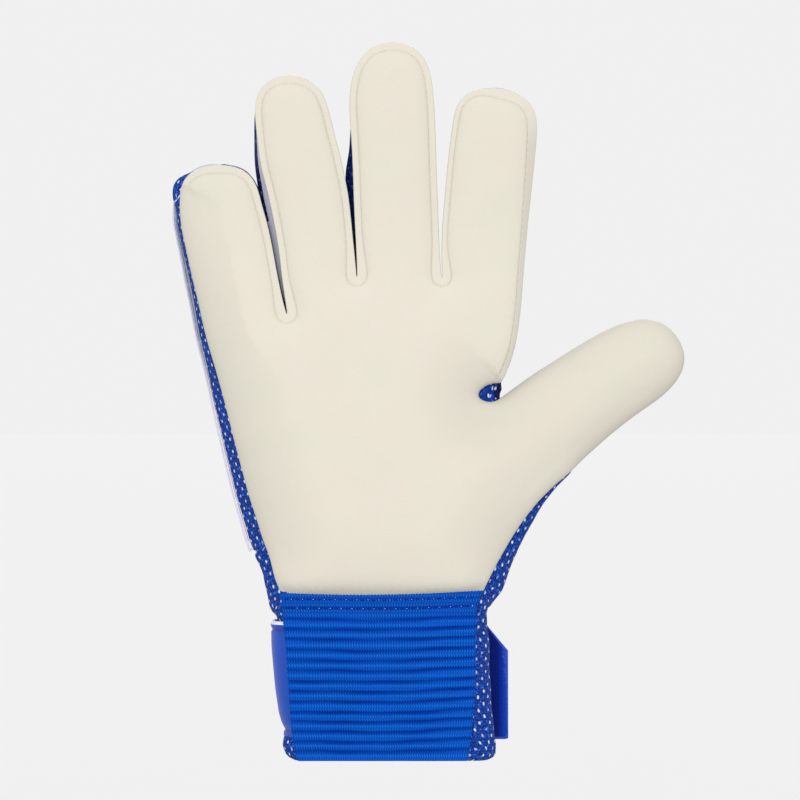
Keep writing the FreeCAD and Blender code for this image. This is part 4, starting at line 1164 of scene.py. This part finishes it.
    # seams closing the mesh at the little finger's tip and in the web of the thumb
    thread([(-80.6, 210.6), (-79.9, 211.3), (-79.0, 212.3), (-78.2, 213.6), (-77.9, 215.2), (-77.7, 216.8)], 0.27, 2, 2.3, 2.1, slice(1, 9))
    thread([(39.5, 141.3), (39.35, 140.2), (39.2, 139.3)], 0.24, 105, 1.9, 2.0, slice(3, 9))
    thread([(40.75, 141.0), (40.7, 140.2), (40.6, 139.4)], 0.24, 105, 1.5, 1.6, slice(3, 9))
    thread([(38.9, 138.0), (38.75, 137.4), (38.6, 136.6)], 0.18, 105, 1.3, 1.4, slice(3, 9))
    lay.done()
    # painted shade for the mesh down in the slits, a little lighter higher up
    deep = palm.smooth((dark | little_dark) * np.interp(Pz, [180, 195, 225], [1.0, 0.9, 0.78]), 3.5)
    shade = np.r_[np.repeat(deep, rows + 1), np.zeros(len(lay.V) - n * (rows + 1))]
    return lay, names, V, code, shade

# ------------------------------------------------------------------ cuff
Z = np.array
EL_L = lambda z: np.interp(z, [0.4, 3, 12, 23.6, 34.1, 44.3, 53, 57.4, 63.4], [-33.9, -34.7, -36.3, -37.2, -37.9, -38.5, -39.4, -39.6, -40.5])
EL_R = lambda z: np.interp(z, [0.4, 6.75, 12, 21, 31.5, 50.6, 57.75, 64.3], [29.9, 30.9, 31.5, 32.25, 32.9, 32.9, 33.3, 35.4])
SL_R = lambda z: np.interp(z, [0.2, 1.0, 2.4, 5.6, 12, 25, 34, 44, 51, 55.3, 57.0, 58.5, 60.8], [37.4, 39.2, 40.3, 40.6, 39.7, 38.9, 38.4, 38.2, 37.3, 37.0, 37.5, 37.9, 38.2])
SL_L = lambda z: np.interp(z, [0.2, 1.2, 2.4, 5.6, 8, 12, 30, 52, 55, 57.0, 58.5, 60.8], [-35.2, -37.0, -38.2, -39.5, -39.3, -38.4, -39.4, -41.3, -42.6, -43.2, -42.6, -42.4])


def grid_faces(nu, nv, close_u=False, flip=False, start=0):
    F = []
    for i in range(nu if close_u else nu - 1):
        i2 = (i + 1) % nu
        for j in range(nv - 1):
            q = (start + i * nv + j, start + i2 * nv + j, start + i2 * nv + j + 1, start + i * nv + j + 1)
            F.append(q[::-1] if flip else q)
    return F


def float_attr(ob, name, values):
    a = ob.data.attributes.new(name, "FLOAT", "POINT")
    a.data.foreach_set("value", np.asarray(values, np.float32))


GROOVES = [53.25, 49.5, 45.75, 41.7, 37.9, 34.1, 30.1, 26.3, 22.5, 18.5, 15.0, 11.25, 7.5, 3.9]


def elastic():
    nu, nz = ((240, 250))
    u = np.linspace(0, 1, nu)
    zn = np.linspace(0, 1, nz)
    U, ZN = np.meshgrid(u, zn, indexing="ij")
    top = 63.4 + 0.9 * U - 4.6 * U * (1 - U)
    zz = 0.35 + (top - 0.35) * ZN
    xl, xr = EL_L(zz), EL_R(zz)
    X = xl + (xr - xl) * U
    sag = 1.1 * U - 2.2 * U * (1 - U) + 0.35 * np.sin(U * 7.0 + 0.8) * 0.6
    fade = np.clip(ZN / 0.12, 0, 1) * np.clip((1 - ZN) / 0.1, 0, 1)
    ph = zz - sag * fade
    r = np.random.default_rng(3)
    depth = np.zeros_like(zz)
    for g in GROOVES:
        gz = g + 0.10 * np.sin(U * 9 + r.uniform(0, 6)) + 0.08 * np.sin(U * 23 + r.uniform(0, 6))
        depth = np.maximum(depth, np.exp(-np.abs((ph - gz) / 0.72) ** 1.5) * (0.86 + 0.12 * np.sin(U * 14 + r.uniform(0, 6))))
    for g, a in ((60.9, 0.42), (57.6, 0.55)):
        depth = np.maximum(depth, a * np.exp(-np.abs((ph - g) / 0.5) ** 2))
    rib = np.zeros_like(zz)
    gs = np.array([0.0] + GROOVES[::-1])
    for a, b in zip(gs[:-1], gs[1:]):
        t = (ph - a) / (b - a)
        rib = np.where((t >= 0) & (t < 1), 0.30 * np.sin(math.pi * np.clip(t, 0, 1) ** 0.8), rib)
    Y = -11.2 + 0.95 * depth - rib
    Y += 0.10 * waves(np.c_[X.ravel(), zz.ravel()], 30, 41).reshape(Y.shape)
    edge = np.minimum(U * (xr - xl), (1 - U) * (xr - xl))
    Y += 0.75 * np.exp(-(edge / 0.55) ** 2)
    tb = np.minimum(zz - 0.35, top - zz)
    Y += 0.6 * np.exp(-(tb / 0.35) ** 2)
    # fine teeth of the woven top edge
    zz = zz + np.where(ZN > 0.992, 0.10 * np.sin(X * 2 * math.pi / 1.3), 0)
    front = np.stack([X, Y, zz], 2).reshape(-1, 3)
    V = [front]
    F = grid_faces(nu, nz)
    n0 = nu * nz
    uv = [np.stack([U * 74.0, zz], 2).reshape(-1, 2)]
    # Shade weights for the elastic: the depth of the rib grooves and stitch lines, painted as shade, and a darker band
    # along the top.
    gr = [np.maximum(depth, 0.32 * smooth01((zz - 52) / 5)).ravel()]
    loop = [(i, 0) for i in range(nu)] + [(nu - 1, j) for j in range(1, nz)] + [(i, nz - 1) for i in range(nu - 2, -1, -1)] + [(0, j) for j in range(nz - 2, 0, -1)]
    ids = np.array([i * nz + j for i, j in loop])
    m = len(ids)
    base = front[ids]
    skirt = base.copy()
    skirt[:, 1] = -9.35
    V.append(skirt)
    uv.append(uv[0][ids])
    # the sides get painted shade as well
    gr.append(np.full(m, 0.6))
    for k in range(m):
        k2 = (k + 1) % m
        F.append((ids[k], n0 + k, n0 + k2, ids[k2]))
    V, uv = np.concatenate(V), np.concatenate(uv)
    ob = mesh_object("ribbed_elastic", V, F, [M_ELASTIC], None, uv)
    float_attr(ob, "groove_and_painted_shade", np.concatenate(gr))
    # two rows of lock stitch along the top: dark dashes with pale specks of bobbin thread
    lay = Layer()
    for k, (g, off) in enumerate(((60.9, 0.0), (57.6, 1.4))):
        uu = np.linspace(0.012, 0.988, 120)
        sg = 1.1 * uu - 2.2 * uu * (1 - uu) + 0.21 * np.sin(uu * 7 + 0.8)
        z = g + sg * 0.85
        x = EL_L(z) + (EL_R(z) - EL_L(z)) * uu
        y = np.full_like(x, -11.2)
        p = np.c_[x, y, z]
        nn = np.tile([0.0, -1.0, 0.0], (len(p), 1))
        capsules(lay, p, nn, 1.6, 0.24, 0, lambda q: 0, lift=-0.02, gap=2.05)
        capsules(lay, p[(3 if k else 0):] + [1.0, 0, 0.05], nn[(3 if k else 0):], 0.42, 0.12, 1, lambda q: 0, lift=0.08, gap=4.1)
    lay.done()
    st = mesh_object("elastic_stitching", lay.V, lay.f, [M_THREAD_D, M_THREAD_W], lay.M, lay.UV)
    return ob, st


def rounded_section(xl, xr, yf, yb, r, n=40):
    """Points round a rounded rectangle from the middle of the front, going to the left side first."""
    cx = (xl + xr) / 2
    r = min(r, (yb - yf) / 2 - 0.3)
    pts = []

    def arcp(cx0, cy0, a0, a1, k):
        for t in np.linspace(a0, a1, k, endpoint=False):
            pts.append((cx0 + r * math.cos(t), cy0 + r * math.sin(t)))
    def line(a, b, k):
        for t in np.linspace(0, 1, k, endpoint=False):
            pts.append((a[0] + (b[0] - a[0]) * t, a[1] + (b[1] - a[1]) * t))
    line((cx, yf), (xl + r, yf), n // 2)
    arcp(xl + r, yf + r, -math.pi / 2, -math.pi, n // 2)
    line((xl, yf + r), (xl, yb - r), 4)
    arcp(xl + r, yb - r, math.pi, math.pi / 2, n // 2)
    line((xl + r, yb), (xr - r, yb), n)
    arcp(xr - r, yb - r, math.pi / 2, 0, n // 2)
    line((xr, yb - r), (xr, yf + r), 4)
    arcp(xr - r, yf + r, 0, -math.pi / 2, n // 2)
    line((xr - r, yf), (cx, yf), n // 2)
    return np.array(pts)


def sleeve():
    zs = np.r_[0.2, 0.7, 1.2, 1.8, 2.4, 3.2, np.linspace(4.2, 60.8, 62)]
    secs = []
    for z in zs:
        tuck = 0.9 * math.exp(-((z - 0.2) / 0.8) ** 2)
        secs.append(rounded_section(SL_L(z), SL_R(z), -9.3 + tuck, 12.0 - tuck, np.interp(z, [0.2, 14], [4.5, 8.6])))
    secs = np.array(secs)
    nz, ns = secs.shape[:2]
    arc = np.cumsum(np.r_[0, np.hypot(*np.diff(secs[nz // 2], axis=0).T)])
    V = np.zeros((ns, nz, 3))
    V[:, :, 0] = secs[:, :, 0].T
    V[:, :, 1] = secs[:, :, 1].T
    V[:, :, 2] = zs[None, :]
    w = waves(np.c_[np.tile(arc[:, None], (1, nz)).ravel(), np.tile(zs[None], (ns, 1)).ravel()], 16, 51).reshape(ns, nz)
    c = np.array([(SL_L(30) + SL_R(30)) / 2, 1.3])
    d = V[:, :, :2] - c
    d /= np.linalg.norm(d, axis=2, keepdims=True)
    side = np.abs(V[:, :, 0] - c[0]) > 30
    V[:, :, :2] += d * (0.22 * w * side)[:, :, None]
    outer = V.reshape(-1, 3)
    inner = V.copy()
    inner[:, :, :2] -= d * 1.1
    inner = inner.reshape(-1, 3)
    n = len(outer)
    F = grid_faces(ns, nz, True, flip=True)
    F2 = grid_faces(ns, nz, True, start=n)
    rim = []
    for i in range(ns):
        i2 = (i + 1) % ns
        rim.append((i * nz, n + i * nz, n + i2 * nz, i2 * nz)[::-1])
        rim.append((i * nz + nz - 1, n + i * nz + nz - 1, n + i2 * nz + nz - 1, i2 * nz + nz - 1))
    uv = np.stack([np.tile(zs[None, :], (ns, 1)), np.tile(arc[:, None], (1, nz))], 2).reshape(-1, 2)
    return mesh_object("cuff_sleeve", np.r_[outer, inner], F + F2 + rim, [M_MESH, M_LINING],
                       [0] * len(F) + [1] * len(F2) + [0] * len(rim), np.r_[uv, uv])


def hem_tape():
    """Turned tape just inside the cuff's mouth."""
    zs = np.linspace(0.9, 10.0, 14)
    V = []
    for z in zs:
        s = rounded_section(SL_L(z) + 1.35, SL_R(z) - 1.35, -8.0, 10.7, 7.4)
        V.append(s)
    V = np.array(V)
    ns = V.shape[1]
    c = V.mean((0, 1))
    puff = 0.35 * np.sin(np.linspace(0, math.pi, len(zs)))
    P = np.zeros((ns, len(zs), 3))
    for k, z in enumerate(zs):
        d = V[k] - c
        d /= np.linalg.norm(d, axis=1, keepdims=True)
        P[:, k, :2] = V[k] - d * (0.15 + puff[k])
        P[:, k, 2] = z
    arc = np.cumsum(np.r_[0, np.hypot(*np.diff(V[5], axis=0).T)])
    uv = np.stack([np.tile(arc[:, None], (1, len(zs))), np.tile(zs[None], (ns, 1))], 2).reshape(-1, 2)
    return mesh_object("cuff_hem_tape", P.reshape(-1, 3), grid_faces(ns, len(zs), True), [M_TAPE], None, uv)


# ------------------------------------------------------------------ strap
ST_L = lambda z: np.interp(z, [8.3, 9.4, 10.6, 11.6, 12.6, 14.5, 18.4, 26.3, 34, 43.1, 48.2, 49.5, 50.6, 51.6, 52.3],
                           [-38.6, -39.7, -39.5, -39.0, -39.6, -40.4, -41.3, -42.4, -43.1, -43.9, -44.3, -44.0, -44.5, -44.6, -44.4])
TAIL = 46.0


def strap_path(z):
    xo = float(ST_L(z))
    k = (z - 30.3) / 22
    pts = [(EL_L(z) + 5.0, -9.7), (EL_L(z) + 0.5, -9.8), (xo + 2.6, -8.0), (xo + 0.5, -4.6), (xo, 0.0), (xo + 0.2, 5.5), (xo + 1.6, 11.0), (xo + 5.6, 15.1),
           (xo + 12, 16.9), (-22, 17.35), (-12, 17.5), (-2, 17.5), (10, 17.45), (24, 17.3), (36, 17.1), (TAIL, 16.6 - 0.35 * k)]
    p = spline(pts, 0, 1.2)
    return p


def strap_parts():
    """The strap's band: outer face, rounded cut edges and inner face, from its sewn end under the elastic to its free end."""
    nrow = 44
    v = np.linspace(0, 1, nrow)
    nu = 190
    P = np.zeros((nu, nrow, 2))
    Zt = np.zeros((nu, nrow))
    Nn = np.zeros((nu, nrow, 2))
    s_all = None
    for j in range(nrow):
        z0 = 8.3 + 44.0 * v[j]
        p = strap_path(z0)
        t = lengths(p)
        q = np.linspace(0, t[-1], nu)
        P[:, j] = np.c_[np.interp(q, t, p[:, 0]), np.interp(q, t, p[:, 1])]
        Nn[:, j] = normals2(P[:, j], closed=False)
    # outward of the band: away from the cuff
    x = P[:, :, 0]
    onback = P[:, :, 1] > 12
    drop = 2.4 * smooth01((x + 44) / (TAIL + 36)) * onback
    topz = 52.3 - drop * 0.85 - np.where(onback & (x > 37.2), (x - 37.2) * (10.4 / (TAIL - 37.2)), 0)
    botz = 8.3 - drop + np.where(onback & (x > 44.6), 0.35 * ((x - 44.6) / (TAIL - 44.6)) ** 2, 0)
    Zt = botz + (topz - botz) * v[None, :]
    edge = np.minimum(Zt - botz, topz - Zt)
    endd = TAIL - x + 50 * (~onback)
    e2 = np.minimum(edge, endd)
    groove_and_painted_shade = np.exp(-((e2 - 3.2) / 0.38) ** 2)
    puff = -0.30 * groove_and_painted_shade - 0.55 * np.exp(-(e2 / 0.5) ** 2) + 0.25 * smooth01((e2 - 3.6) / 6)
    puff = puff + 0.10 * waves(np.c_[lengths(P[:, 20])[:, None].repeat(nrow, 1).ravel(), Zt.ravel()], 34, 61).reshape(nu, nrow)
    outn = -Nn if np.mean((Nn[nu * 2 // 3])[:, 1]) < 0 else Nn
    O = P + outn * puff[:, :, None]
    I = P - outn * (1.9 - 0.35 * np.exp(-(e2 / 0.5) ** 2))[:, :, None]
    arc = lengths(P[:, 20])
    arcs = np.tile(arc[:, None], (1, nrow))
    return P, O, I, Zt, groove_and_painted_shade, arcs, outn


def band_mesh(name, O, I, Zt, groove_and_painted_shade, arcs, i0, i1, cap0, cap1):
    O, I, Zt, groove_and_painted_shade, arcs = O[i0:i1], I[i0:i1], Zt[i0:i1], groove_and_painted_shade[i0:i1], arcs[i0:i1]
    nu, nv = Zt.shape
    out = np.stack([O[:, :, 0], O[:, :, 1], Zt], 2).reshape(-1, 3)
    inn = np.stack([I[:, :, 0], I[:, :, 1], Zt], 2).reshape(-1, 3)
    mid = (O + I) / 2
    top = np.stack([mid[:, -1, 0], mid[:, -1, 1], Zt[:, -1] + 0.22], 1)
    bot = np.stack([mid[:, 0, 0], mid[:, 0, 1], Zt[:, 0] - 0.22], 1)
    n = nu * nv
    V = np.concatenate([out, inn, top, bot])
    F, M = [], []
    fo = grid_faces(nu, nv)
    F += fo
    # the pale core shows along the top edge where the strap turns out from under the elastic
    M += [1 if k % (nv - 1) == nv - 2 and O[k // (nv - 1), 0, 1] < 1.0 and cap0 else 0 for k in range(len(fo))]
    fi = grid_faces(nu, nv, start=n, flip=True)
    F += fi
    M += [2] * len(fi)
    for i in range(nu - 1):
        a, b = i * nv + nv - 1, (i + 1) * nv + nv - 1
        ta, tb = 2 * n + i, 2 * n + i + 1
        F += [(a, b, tb, ta), (ta, tb, n + b, n + a)]
        a, b = i * nv, (i + 1) * nv
        ba, bb = 2 * n + nu + i, 2 * n + nu + i + 1
        F += [(b, a, ba, bb), (bb, ba, n + a, n + b)]
        M += [1, 1, 1, 1]
    for cap, i, flip in ((cap0, 0, False), (cap1, nu - 1, True)):
        if cap:
            for j in range(nv - 1):
                q = (i * nv + j, i * nv + j + 1, n + i * nv + j + 1, n + i * nv + j)
                F.append(q[::-1] if flip else q)
                M.append(1)
    uv = np.stack([arcs, Zt], 2).reshape(-1, 2)
    uv = np.concatenate([uv, uv, np.c_[arcs[:, 0], Zt[:, -1]], np.c_[arcs[:, 0], Zt[:, 0]]])
    ob = mesh_object(name, V, F, [M_STRAP, M_WHITE_EDGE, M_STRAP_IN], M, uv)
    float_attr(ob, "groove_and_painted_shade", np.r_[groove_and_painted_shade.ravel(), np.zeros(len(V) - n)])
    return ob


def pad_patch(name, x0, x1, z0, z1, y_back, y_front, mat, r=2.0, rough=0.12, seed=1, shape=None, pitch=0.9):
    """A thin soft tape lying on a face: rounded corners, soft edge, slightly uneven pile. y_front is the face that shows."""
    nx, nz = int((x1 - x0) / pitch) + 2, int((z1 - z0) / pitch) + 2
    X, Zg = np.meshgrid(np.linspace(0, 1, nx), np.linspace(0, 1, nz), indexing="ij")
    xx = x0 + (x1 - x0) * X
    ztop = np.full_like(xx, z1) if shape is None else shape(xx, z1)
    zz = z0 + (ztop - z0) * Zg
    dx, dz = np.minimum(xx - x0, x1 - xx), np.minimum(zz - z0, ztop - zz)
    d = np.where((dx < r) & (dz < r), r - np.hypot(r - dx, r - dz), np.minimum(dx, dz))
    cx = np.clip(r - dx, 0, None) * 0
    q = np.clip(d, -r, None)
    pull = np.clip(-q, 0, None)
    sx = np.where(xx - x0 < x1 - xx, 1, -1)
    sz = np.where(zz - z0 < ztop - zz, 1, -1)
    xx = xx + sx * pull * 0.7
    zz = zz + sz * pull * 0.7
    t = smooth01(np.clip(q, 0, None) / 0.8)
    rnd = np.random.default_rng(seed).uniform(-1, 1, xx.shape)
    yy = y_back + (y_front - y_back) * (0.35 + 0.65 * t) + rough * rnd * t * np.sign(y_front - y_back)
    front = np.stack([xx, yy, zz], 2).reshape(-1, 3)
    flip = y_front > y_back
    F = grid_faces(nx, nz, flip=flip)
    loop = [(i, 0) for i in range(nx)] + [(nx - 1, j) for j in range(1, nz)] + [(i, nz - 1) for i in range(nx - 2, -1, -1)] + [(0, j) for j in range(nz - 2, 0, -1)]
    ids = [i * nz + j for i, j in loop]
    n0, m = len(front), len(ids)
    sk = front[ids].copy()
    sk[:, 1] = y_back
    V = np.concatenate([front, sk])
    for k in range(m):
        k2 = (k + 1) % m
        qd = (ids[k], n0 + k, n0 + k2, ids[k2])
        F.append(qd[::-1] if flip else qd)
    uv = V[:, [0, 2]]
    return mesh_object(name, V, F, [mat], None, uv)


def bend(ob, s, e):
    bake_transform(ob)
    return ob


WRIST_A, WRIST_B = (-2.5, -10.5, 58.0), (-2.5, -10.5, 75.0)


def bodies_for(ob, reg):
    """Hands a piece cut from a layer to bend(), with hinge points chosen by its region number; bend() only bakes the
    transform.
    """
    if reg == 0:
        return bend(ob, WRIST_A, WRIST_B)
    k, up = divmod(reg - 1, 2)
    f = list(FINGERS)[k]
    L1 = FINGERS[f][2]
    if up:
        return bend(ob, world(f, L1 - 8), world(f, L1 + 8))
    return bend(ob, world(f, CUT[f] + 2.2), world(f, min(12.5, L1 / 2 - 1)))


def cut_all(layer, mats, name_of, att=None):
    vn = layer.normals()
    made = {}
    for r in sorted(set(layer.R.tolist())):
        name, nodes, slot_name = name_of(r)
        pick = layer.R == r
        ob = cut_piece(layer, name, mats, pick, vn)
        if att is not None:
            faces = [layer.f[i] for i in np.nonzero(pick)[0]]
            used = np.unique(np.concatenate([np.array(q) for q in faces]))
            float_attr(ob, "groove_and_painted_shade", att[used])
        if nodes:
            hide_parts(*nodes)
        made[r] = ob
    return made


FN = list(FINGERS)


def palm_names(r):
    if r == 0:
        return "soft_palm_latex", ["palm_latex"], "palm_latex"
    k, up = divmod(r - 1, 2)
    f = FN[k]
    part = "upper" if up else "lower"
    if f == "thumb":
        return f"soft_thumb_{part}_latex", [f"thumb_{part}_latex"], "thumb_latex"
    return f"soft_{f}_{part}_palm", [f"{f}_{part}_palm"], "palm_latex"


def back_names(r):
    if r == 0:
        return "soft_backhand_panel", ["backhand_panel"], "back_foam"
    k, up = divmod(r - 1, 2)
    part = "upper" if up else "lower"
    return f"soft_{FN[k]}_{part}_back", [f"{FN[k]}_{part}_back"], "back_foam"


palm_layer, palm_outer, palm_where, palm_d, palm_own = build_palm()
pd_, po_ = palm.near(palm_layer.V[:, [0, 2]])
pz_ = palm_layer.V[:, 2]
# Painted shade for the latex: greyer within 30 mm of the rolled edges (less at the wrist, towards the thumb and up the
# fingers), greyer up the fingers and on the index finger's right flange.
palm_painted_shade = (1 - smooth01(pd_ / 30)) * (1 - palm.at(palm.smooth(w_flange, 12), po_)) * (0.05 + 0.95 * smooth01((pz_ - 60) / 34)) * (1 - 0.45 * smooth01((palm_layer.V[:, 0] - 30) / 30)) * (1 - 0.55 * smooth01((pz_ - 165) / 40))
palm_painted_shade = palm_painted_shade + 0.28 * smooth01((pz_ - 170) / 50)
palm_painted_shade = palm_painted_shade + 0.7 * palm.at(palm.smooth(index_right * (Pz < 236), 3), po_) * (pd_ < palm.at(ds, po_) + 0.2)
palm_painted_shade = np.clip(palm_painted_shade, 0, 1.2) * (palm_layer.V[:, 1] < 6)
for r, ob in cut_all(palm_layer, [M_PALM, M_THREAD, M_LINING], palm_names, palm_painted_shade).items():
    bodies_for(ob, r)

back_layer = build_back()
chd, _ = nearest(tree(np.concatenate([resample(q, 0.25) for q in channels()])), back_layer.V[:, [0, 2]])
back_att = np.exp(-(chd / 0.62) ** 2) * (back_layer.V[:, 1] > 6.9)
for r, ob in cut_all(back_layer, [M_FOAM, M_THREAD_B, M_BACKING], back_names, back_att).items():
    if r == 0:
        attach(ob, "hand")
    else:
        bodies_for(ob, r)

wall_layer, wall_part_names, wallV, wall_code, wall_shade = build_walls()


def wall_names(r):
    if r >= 100:
        n = wall_part_names[r - 100]
        return "soft_" + n, [n], "mesh"
    k, up = divmod(r - 1, 2)
    f = FN[k]
    if f == "thumb":
        return ("soft_thumb_upper_wall" if up else "soft_thumb_lower_wall"), [], "mesh"
    if up:
        return f"soft_{f}_upper_gusset", [f"{f}_upper_gusset"], "mesh"
    return f"soft_{f}_lower_gussets", [f"{f}_lower_gusset_left", f"{f}_lower_gusset_right"], "mesh"


for r, ob in cut_all(wall_layer, [M_MESH, M_EDGE, M_MESH_PAINTED_SHADE, M_THREAD_W], wall_names, wall_shade).items():
    if r in (100, 106):
        bodies_for(ob, 0)
    elif r > 100:
        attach(ob, "hand")
    else:
        bodies_for(ob, r)


# ---- mesh over the back of the wrist, between the two side walls
def wrist_mesh():
    zs = np.linspace(57.0, 87.0, 34)
    nl = [i for i in range(palm.n) if seg[i] == "LEFT" and Pz[i] < 92]
    nr = [i for i in range(palm.n) if seg[i] == "THUMB" and i > thumb_tip and Pz[i] < 96][::-1]
    el, er = wallV[nl][:, -1], wallV[nr][:, -1]
    nu = 90
    V = np.zeros((nu, len(zs), 3))
    for k, z in enumerate(zs):
        xl = np.interp(z, el[:, 2], el[:, 0])
        xr = np.interp(z, er[:, 2], er[:, 0])
        yl, yr = np.interp(z, el[:, 2], el[:, 1]), np.interp(z, er[:, 2], er[:, 1])
        top = np.interp(z, [56, 62, 72, 79, 87], [11.6, 11.4, 9.2, 6.3, 5.0])
        u = np.linspace(0, 1, nu)
        x = xl + (xr - xl) * u
        e = np.minimum(x - xl, xr - x)
        end = np.where(u < 0.5, yl, yr)
        V[:, k, 0], V[:, k, 2] = x, z
        V[:, k, 1] = end + (top - end) * smooth01(e / 7.0) + 0.3 * waves(np.c_[x, np.full(nu, z)], 22, 71) * smooth01(e / 7)
    uv = np.stack([V[:, :, 2], V[:, :, 0]], 2).reshape(-1, 2)
    return mesh_object("soft_backhand_wrist_mesh", V.reshape(-1, 3), grid_faces(nu, len(zs), flip=True), [M_MESH], None, uv)


wm = wrist_mesh()
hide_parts("backhand_wrist_mesh")
bend(wm, WRIST_A, WRIST_B)


# ---- linings: one soft sheet against the palm and one against the back
def lining(name, loop, shrink, y, side, node):
    inner = Loop([(resample(np.r_[q, q[:1]], 3.0)[:-1], "L") for q in [loop]])
    dd = np.tile([1.2, 2.6], (inner.n, 1))
    v, tri, where = sheet_mesh(inner, dd, 2, 4.0)
    reg = region(v[tri].mean(1))
    tri = tri[reg == 0]
    used = np.unique(tri)
    re = np.full(len(v), -1)
    re[used] = np.arange(len(used))
    v, tri = v[used], re[tri]
    d, _ = inner.near(v)
    yy = y - side * 2.2 * (1 - smooth01(d / 7)) + 0.15 * waves(v, 18, 81)
    yy = np.where(v[:, 1] < 72, yy + (np.interp(v[:, 1], [60, 72], [-8.1 if side < 0 else 9.6, y]) - yy) * (1 - smooth01((v[:, 1] - 60) / 12)), yy)
    V = np.c_[v[:, 0], yy, v[:, 1]]
    ob = mesh_object(name, V, tri if side > 0 else tri[:, ::-1], [M_LINING], None, V[:, [0, 2]])
    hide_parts(node)
    return bend(ob, WRIST_A, WRIST_B)


def inner_outline(inset):
    p, nn = palm.p[:-1], palm.nor[:-1]
    q = p - nn * inset
    d, own = palm.near(q)
    ok = (d > inset * 0.93) & inside(q, palm.p) & (region(q) == 0)
    return gauss(q[ok], 1.5, 1.0, cyclic=True)


lo_line = inner_outline(4.6)
lining("soft_palm_lining", lo_line, 0, -6.3, -1, "palm_lining")
lining("soft_back_lining", lo_line, 0, 4.6, 1, "back_lining")

# ---- cuff
el, st = elastic()
el.name = "soft_ribbed_elastic"
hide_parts("ribbed_elastic")
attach(el, "cuff")
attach(st, "cuff")
sv = sleeve()
sv.name = "soft_cuff_sleeve"
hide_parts("cuff_sleeve")
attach(sv, "cuff")
ht = hem_tape()
ht.name = "soft_cuff_hem_tape"
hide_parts("cuff_hem_tape")
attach(ht, "cuff")
lp = pad_patch("soft_cuff_loop_patch", -2.0, 29.0, 8.5, 49.5, 11.95, 13.25, M_PILE, r=3.0, rough=0.10, seed=5)
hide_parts("cuff_loop_patch")
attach(lp, "cuff")

sp, so, si, sz, sg, sa, sn = strap_parts()
mid_row = 22
split = int(np.nonzero((so[:, mid_row, 1] > 12) & (so[:, mid_row, 0] > -13.5))[0][0])
band = band_mesh("soft_strap_wrap", so, si, sz, sg, sa, 0, split + 1, True, False)
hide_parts("strap_wrap", "strap_anchor")
bend(band, (-46, -3, 30.3), (-46, 9, 30.3))
tail = band_mesh("soft_strap_tail", so, si, sz, sg, sa, split, len(so), False, True)
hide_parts("strap_tail")
bend(tail, (-12, 17.6, 30.3), (4, 17.6, 30.3))
hk = pad_patch("soft_strap_hook_tape", 6.0, 45.6, 6.7, 49.6, 15.55, 14.6, M_HOOK, r=1.2, rough=0.12, seed=9,
               shape=lambda x, z1: np.where(x > 37.2, z1 - (x - 37.2) * 1.18, z1), pitch=0.6)
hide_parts("strap_hook_tape")
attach(hk, "strap_end")

# ------------------------------------------------------------------ stage, light, camera
def stage_mat():
    m = Mat("studio_paper", Roughness=0.9, Specular_IOR_Level=0.1)
    g = m.noise(6, 3)
    c = m.mix(m.ramp(g, 0.3, 0.7), (0.020, 0.020, 0.020, 1), (0.022, 0.022, 0.022, 1))
    m.color(c)
    m.b.inputs["Emission Color"].default_value = (1, 1, 1, 1)
    m.b.inputs["Emission Strength"].default_value = 0.829
    return m.m


fl = bpy.data.meshes.new("floor")
S = 40.0
fl.from_pydata([(-S, -S, -0.3), (S, -S, -0.3), (S, S, -0.3), (-S, S, -0.3)], [], [(0, 1, 2, 3)])
lay = fl.uv_layers.new(name="rest")
lay.data.foreach_set("uv", np.array([(-S, -S), (S, -S), (S, S), (-S, S)], np.float32).ravel())
fl.materials.append(stage_mat())
floor = bpy.data.objects.new("floor", fl)
bpy.context.scene.collection.objects.link(floor)

sc = bpy.context.scene
w = bpy.data.worlds.new("studio")
sc.world = w
w.use_nodes = True
w.node_tree.nodes["Background"].inputs[0].default_value = (1, 1, 1, 1)
w.node_tree.nodes["Background"].inputs[1].default_value = 0.871
sc.view_settings.view_transform = "Standard"
sc.view_settings.look = "None"


def area(name, loc, target, size, power):
    l = bpy.data.lights.new(name, "AREA")
    l.shape = "DISK"
    l.size = size
    l.energy = power
    o = bpy.data.objects.new(name, l)
    sc.collection.objects.link(o)
    o.location = loc
    o.rotation_euler = (Vector(target) - Vector(loc)).to_track_quat("-Z", "Y").to_euler()
    return o


area("key", (-0.15, -1.5, 0.8), (0, 0, 0.12), 0.8, 15.0)
area("fill", (0.5, -1.6, 0.25), (0, 0, 0.13), 1.2, 3.0)
area("back_light", (0.2, 1.4, 1.0), (0, 0, 0.14), 0.9, 10.0)

cam = bpy.data.cameras.new("camera")
cam.lens, cam.sensor_width = 144.0, 36.0
cam.clip_start, cam.clip_end = 0.05, 60
co = bpy.data.objects.new("camera", cam)
sc.collection.objects.link(co)
co.location = (EYE[0] / 1000, -(DIST + 10.5) / 1000, EYE[1] / 1000)
co.rotation_euler = (math.pi / 2, 0, 0)
sc.camera = co
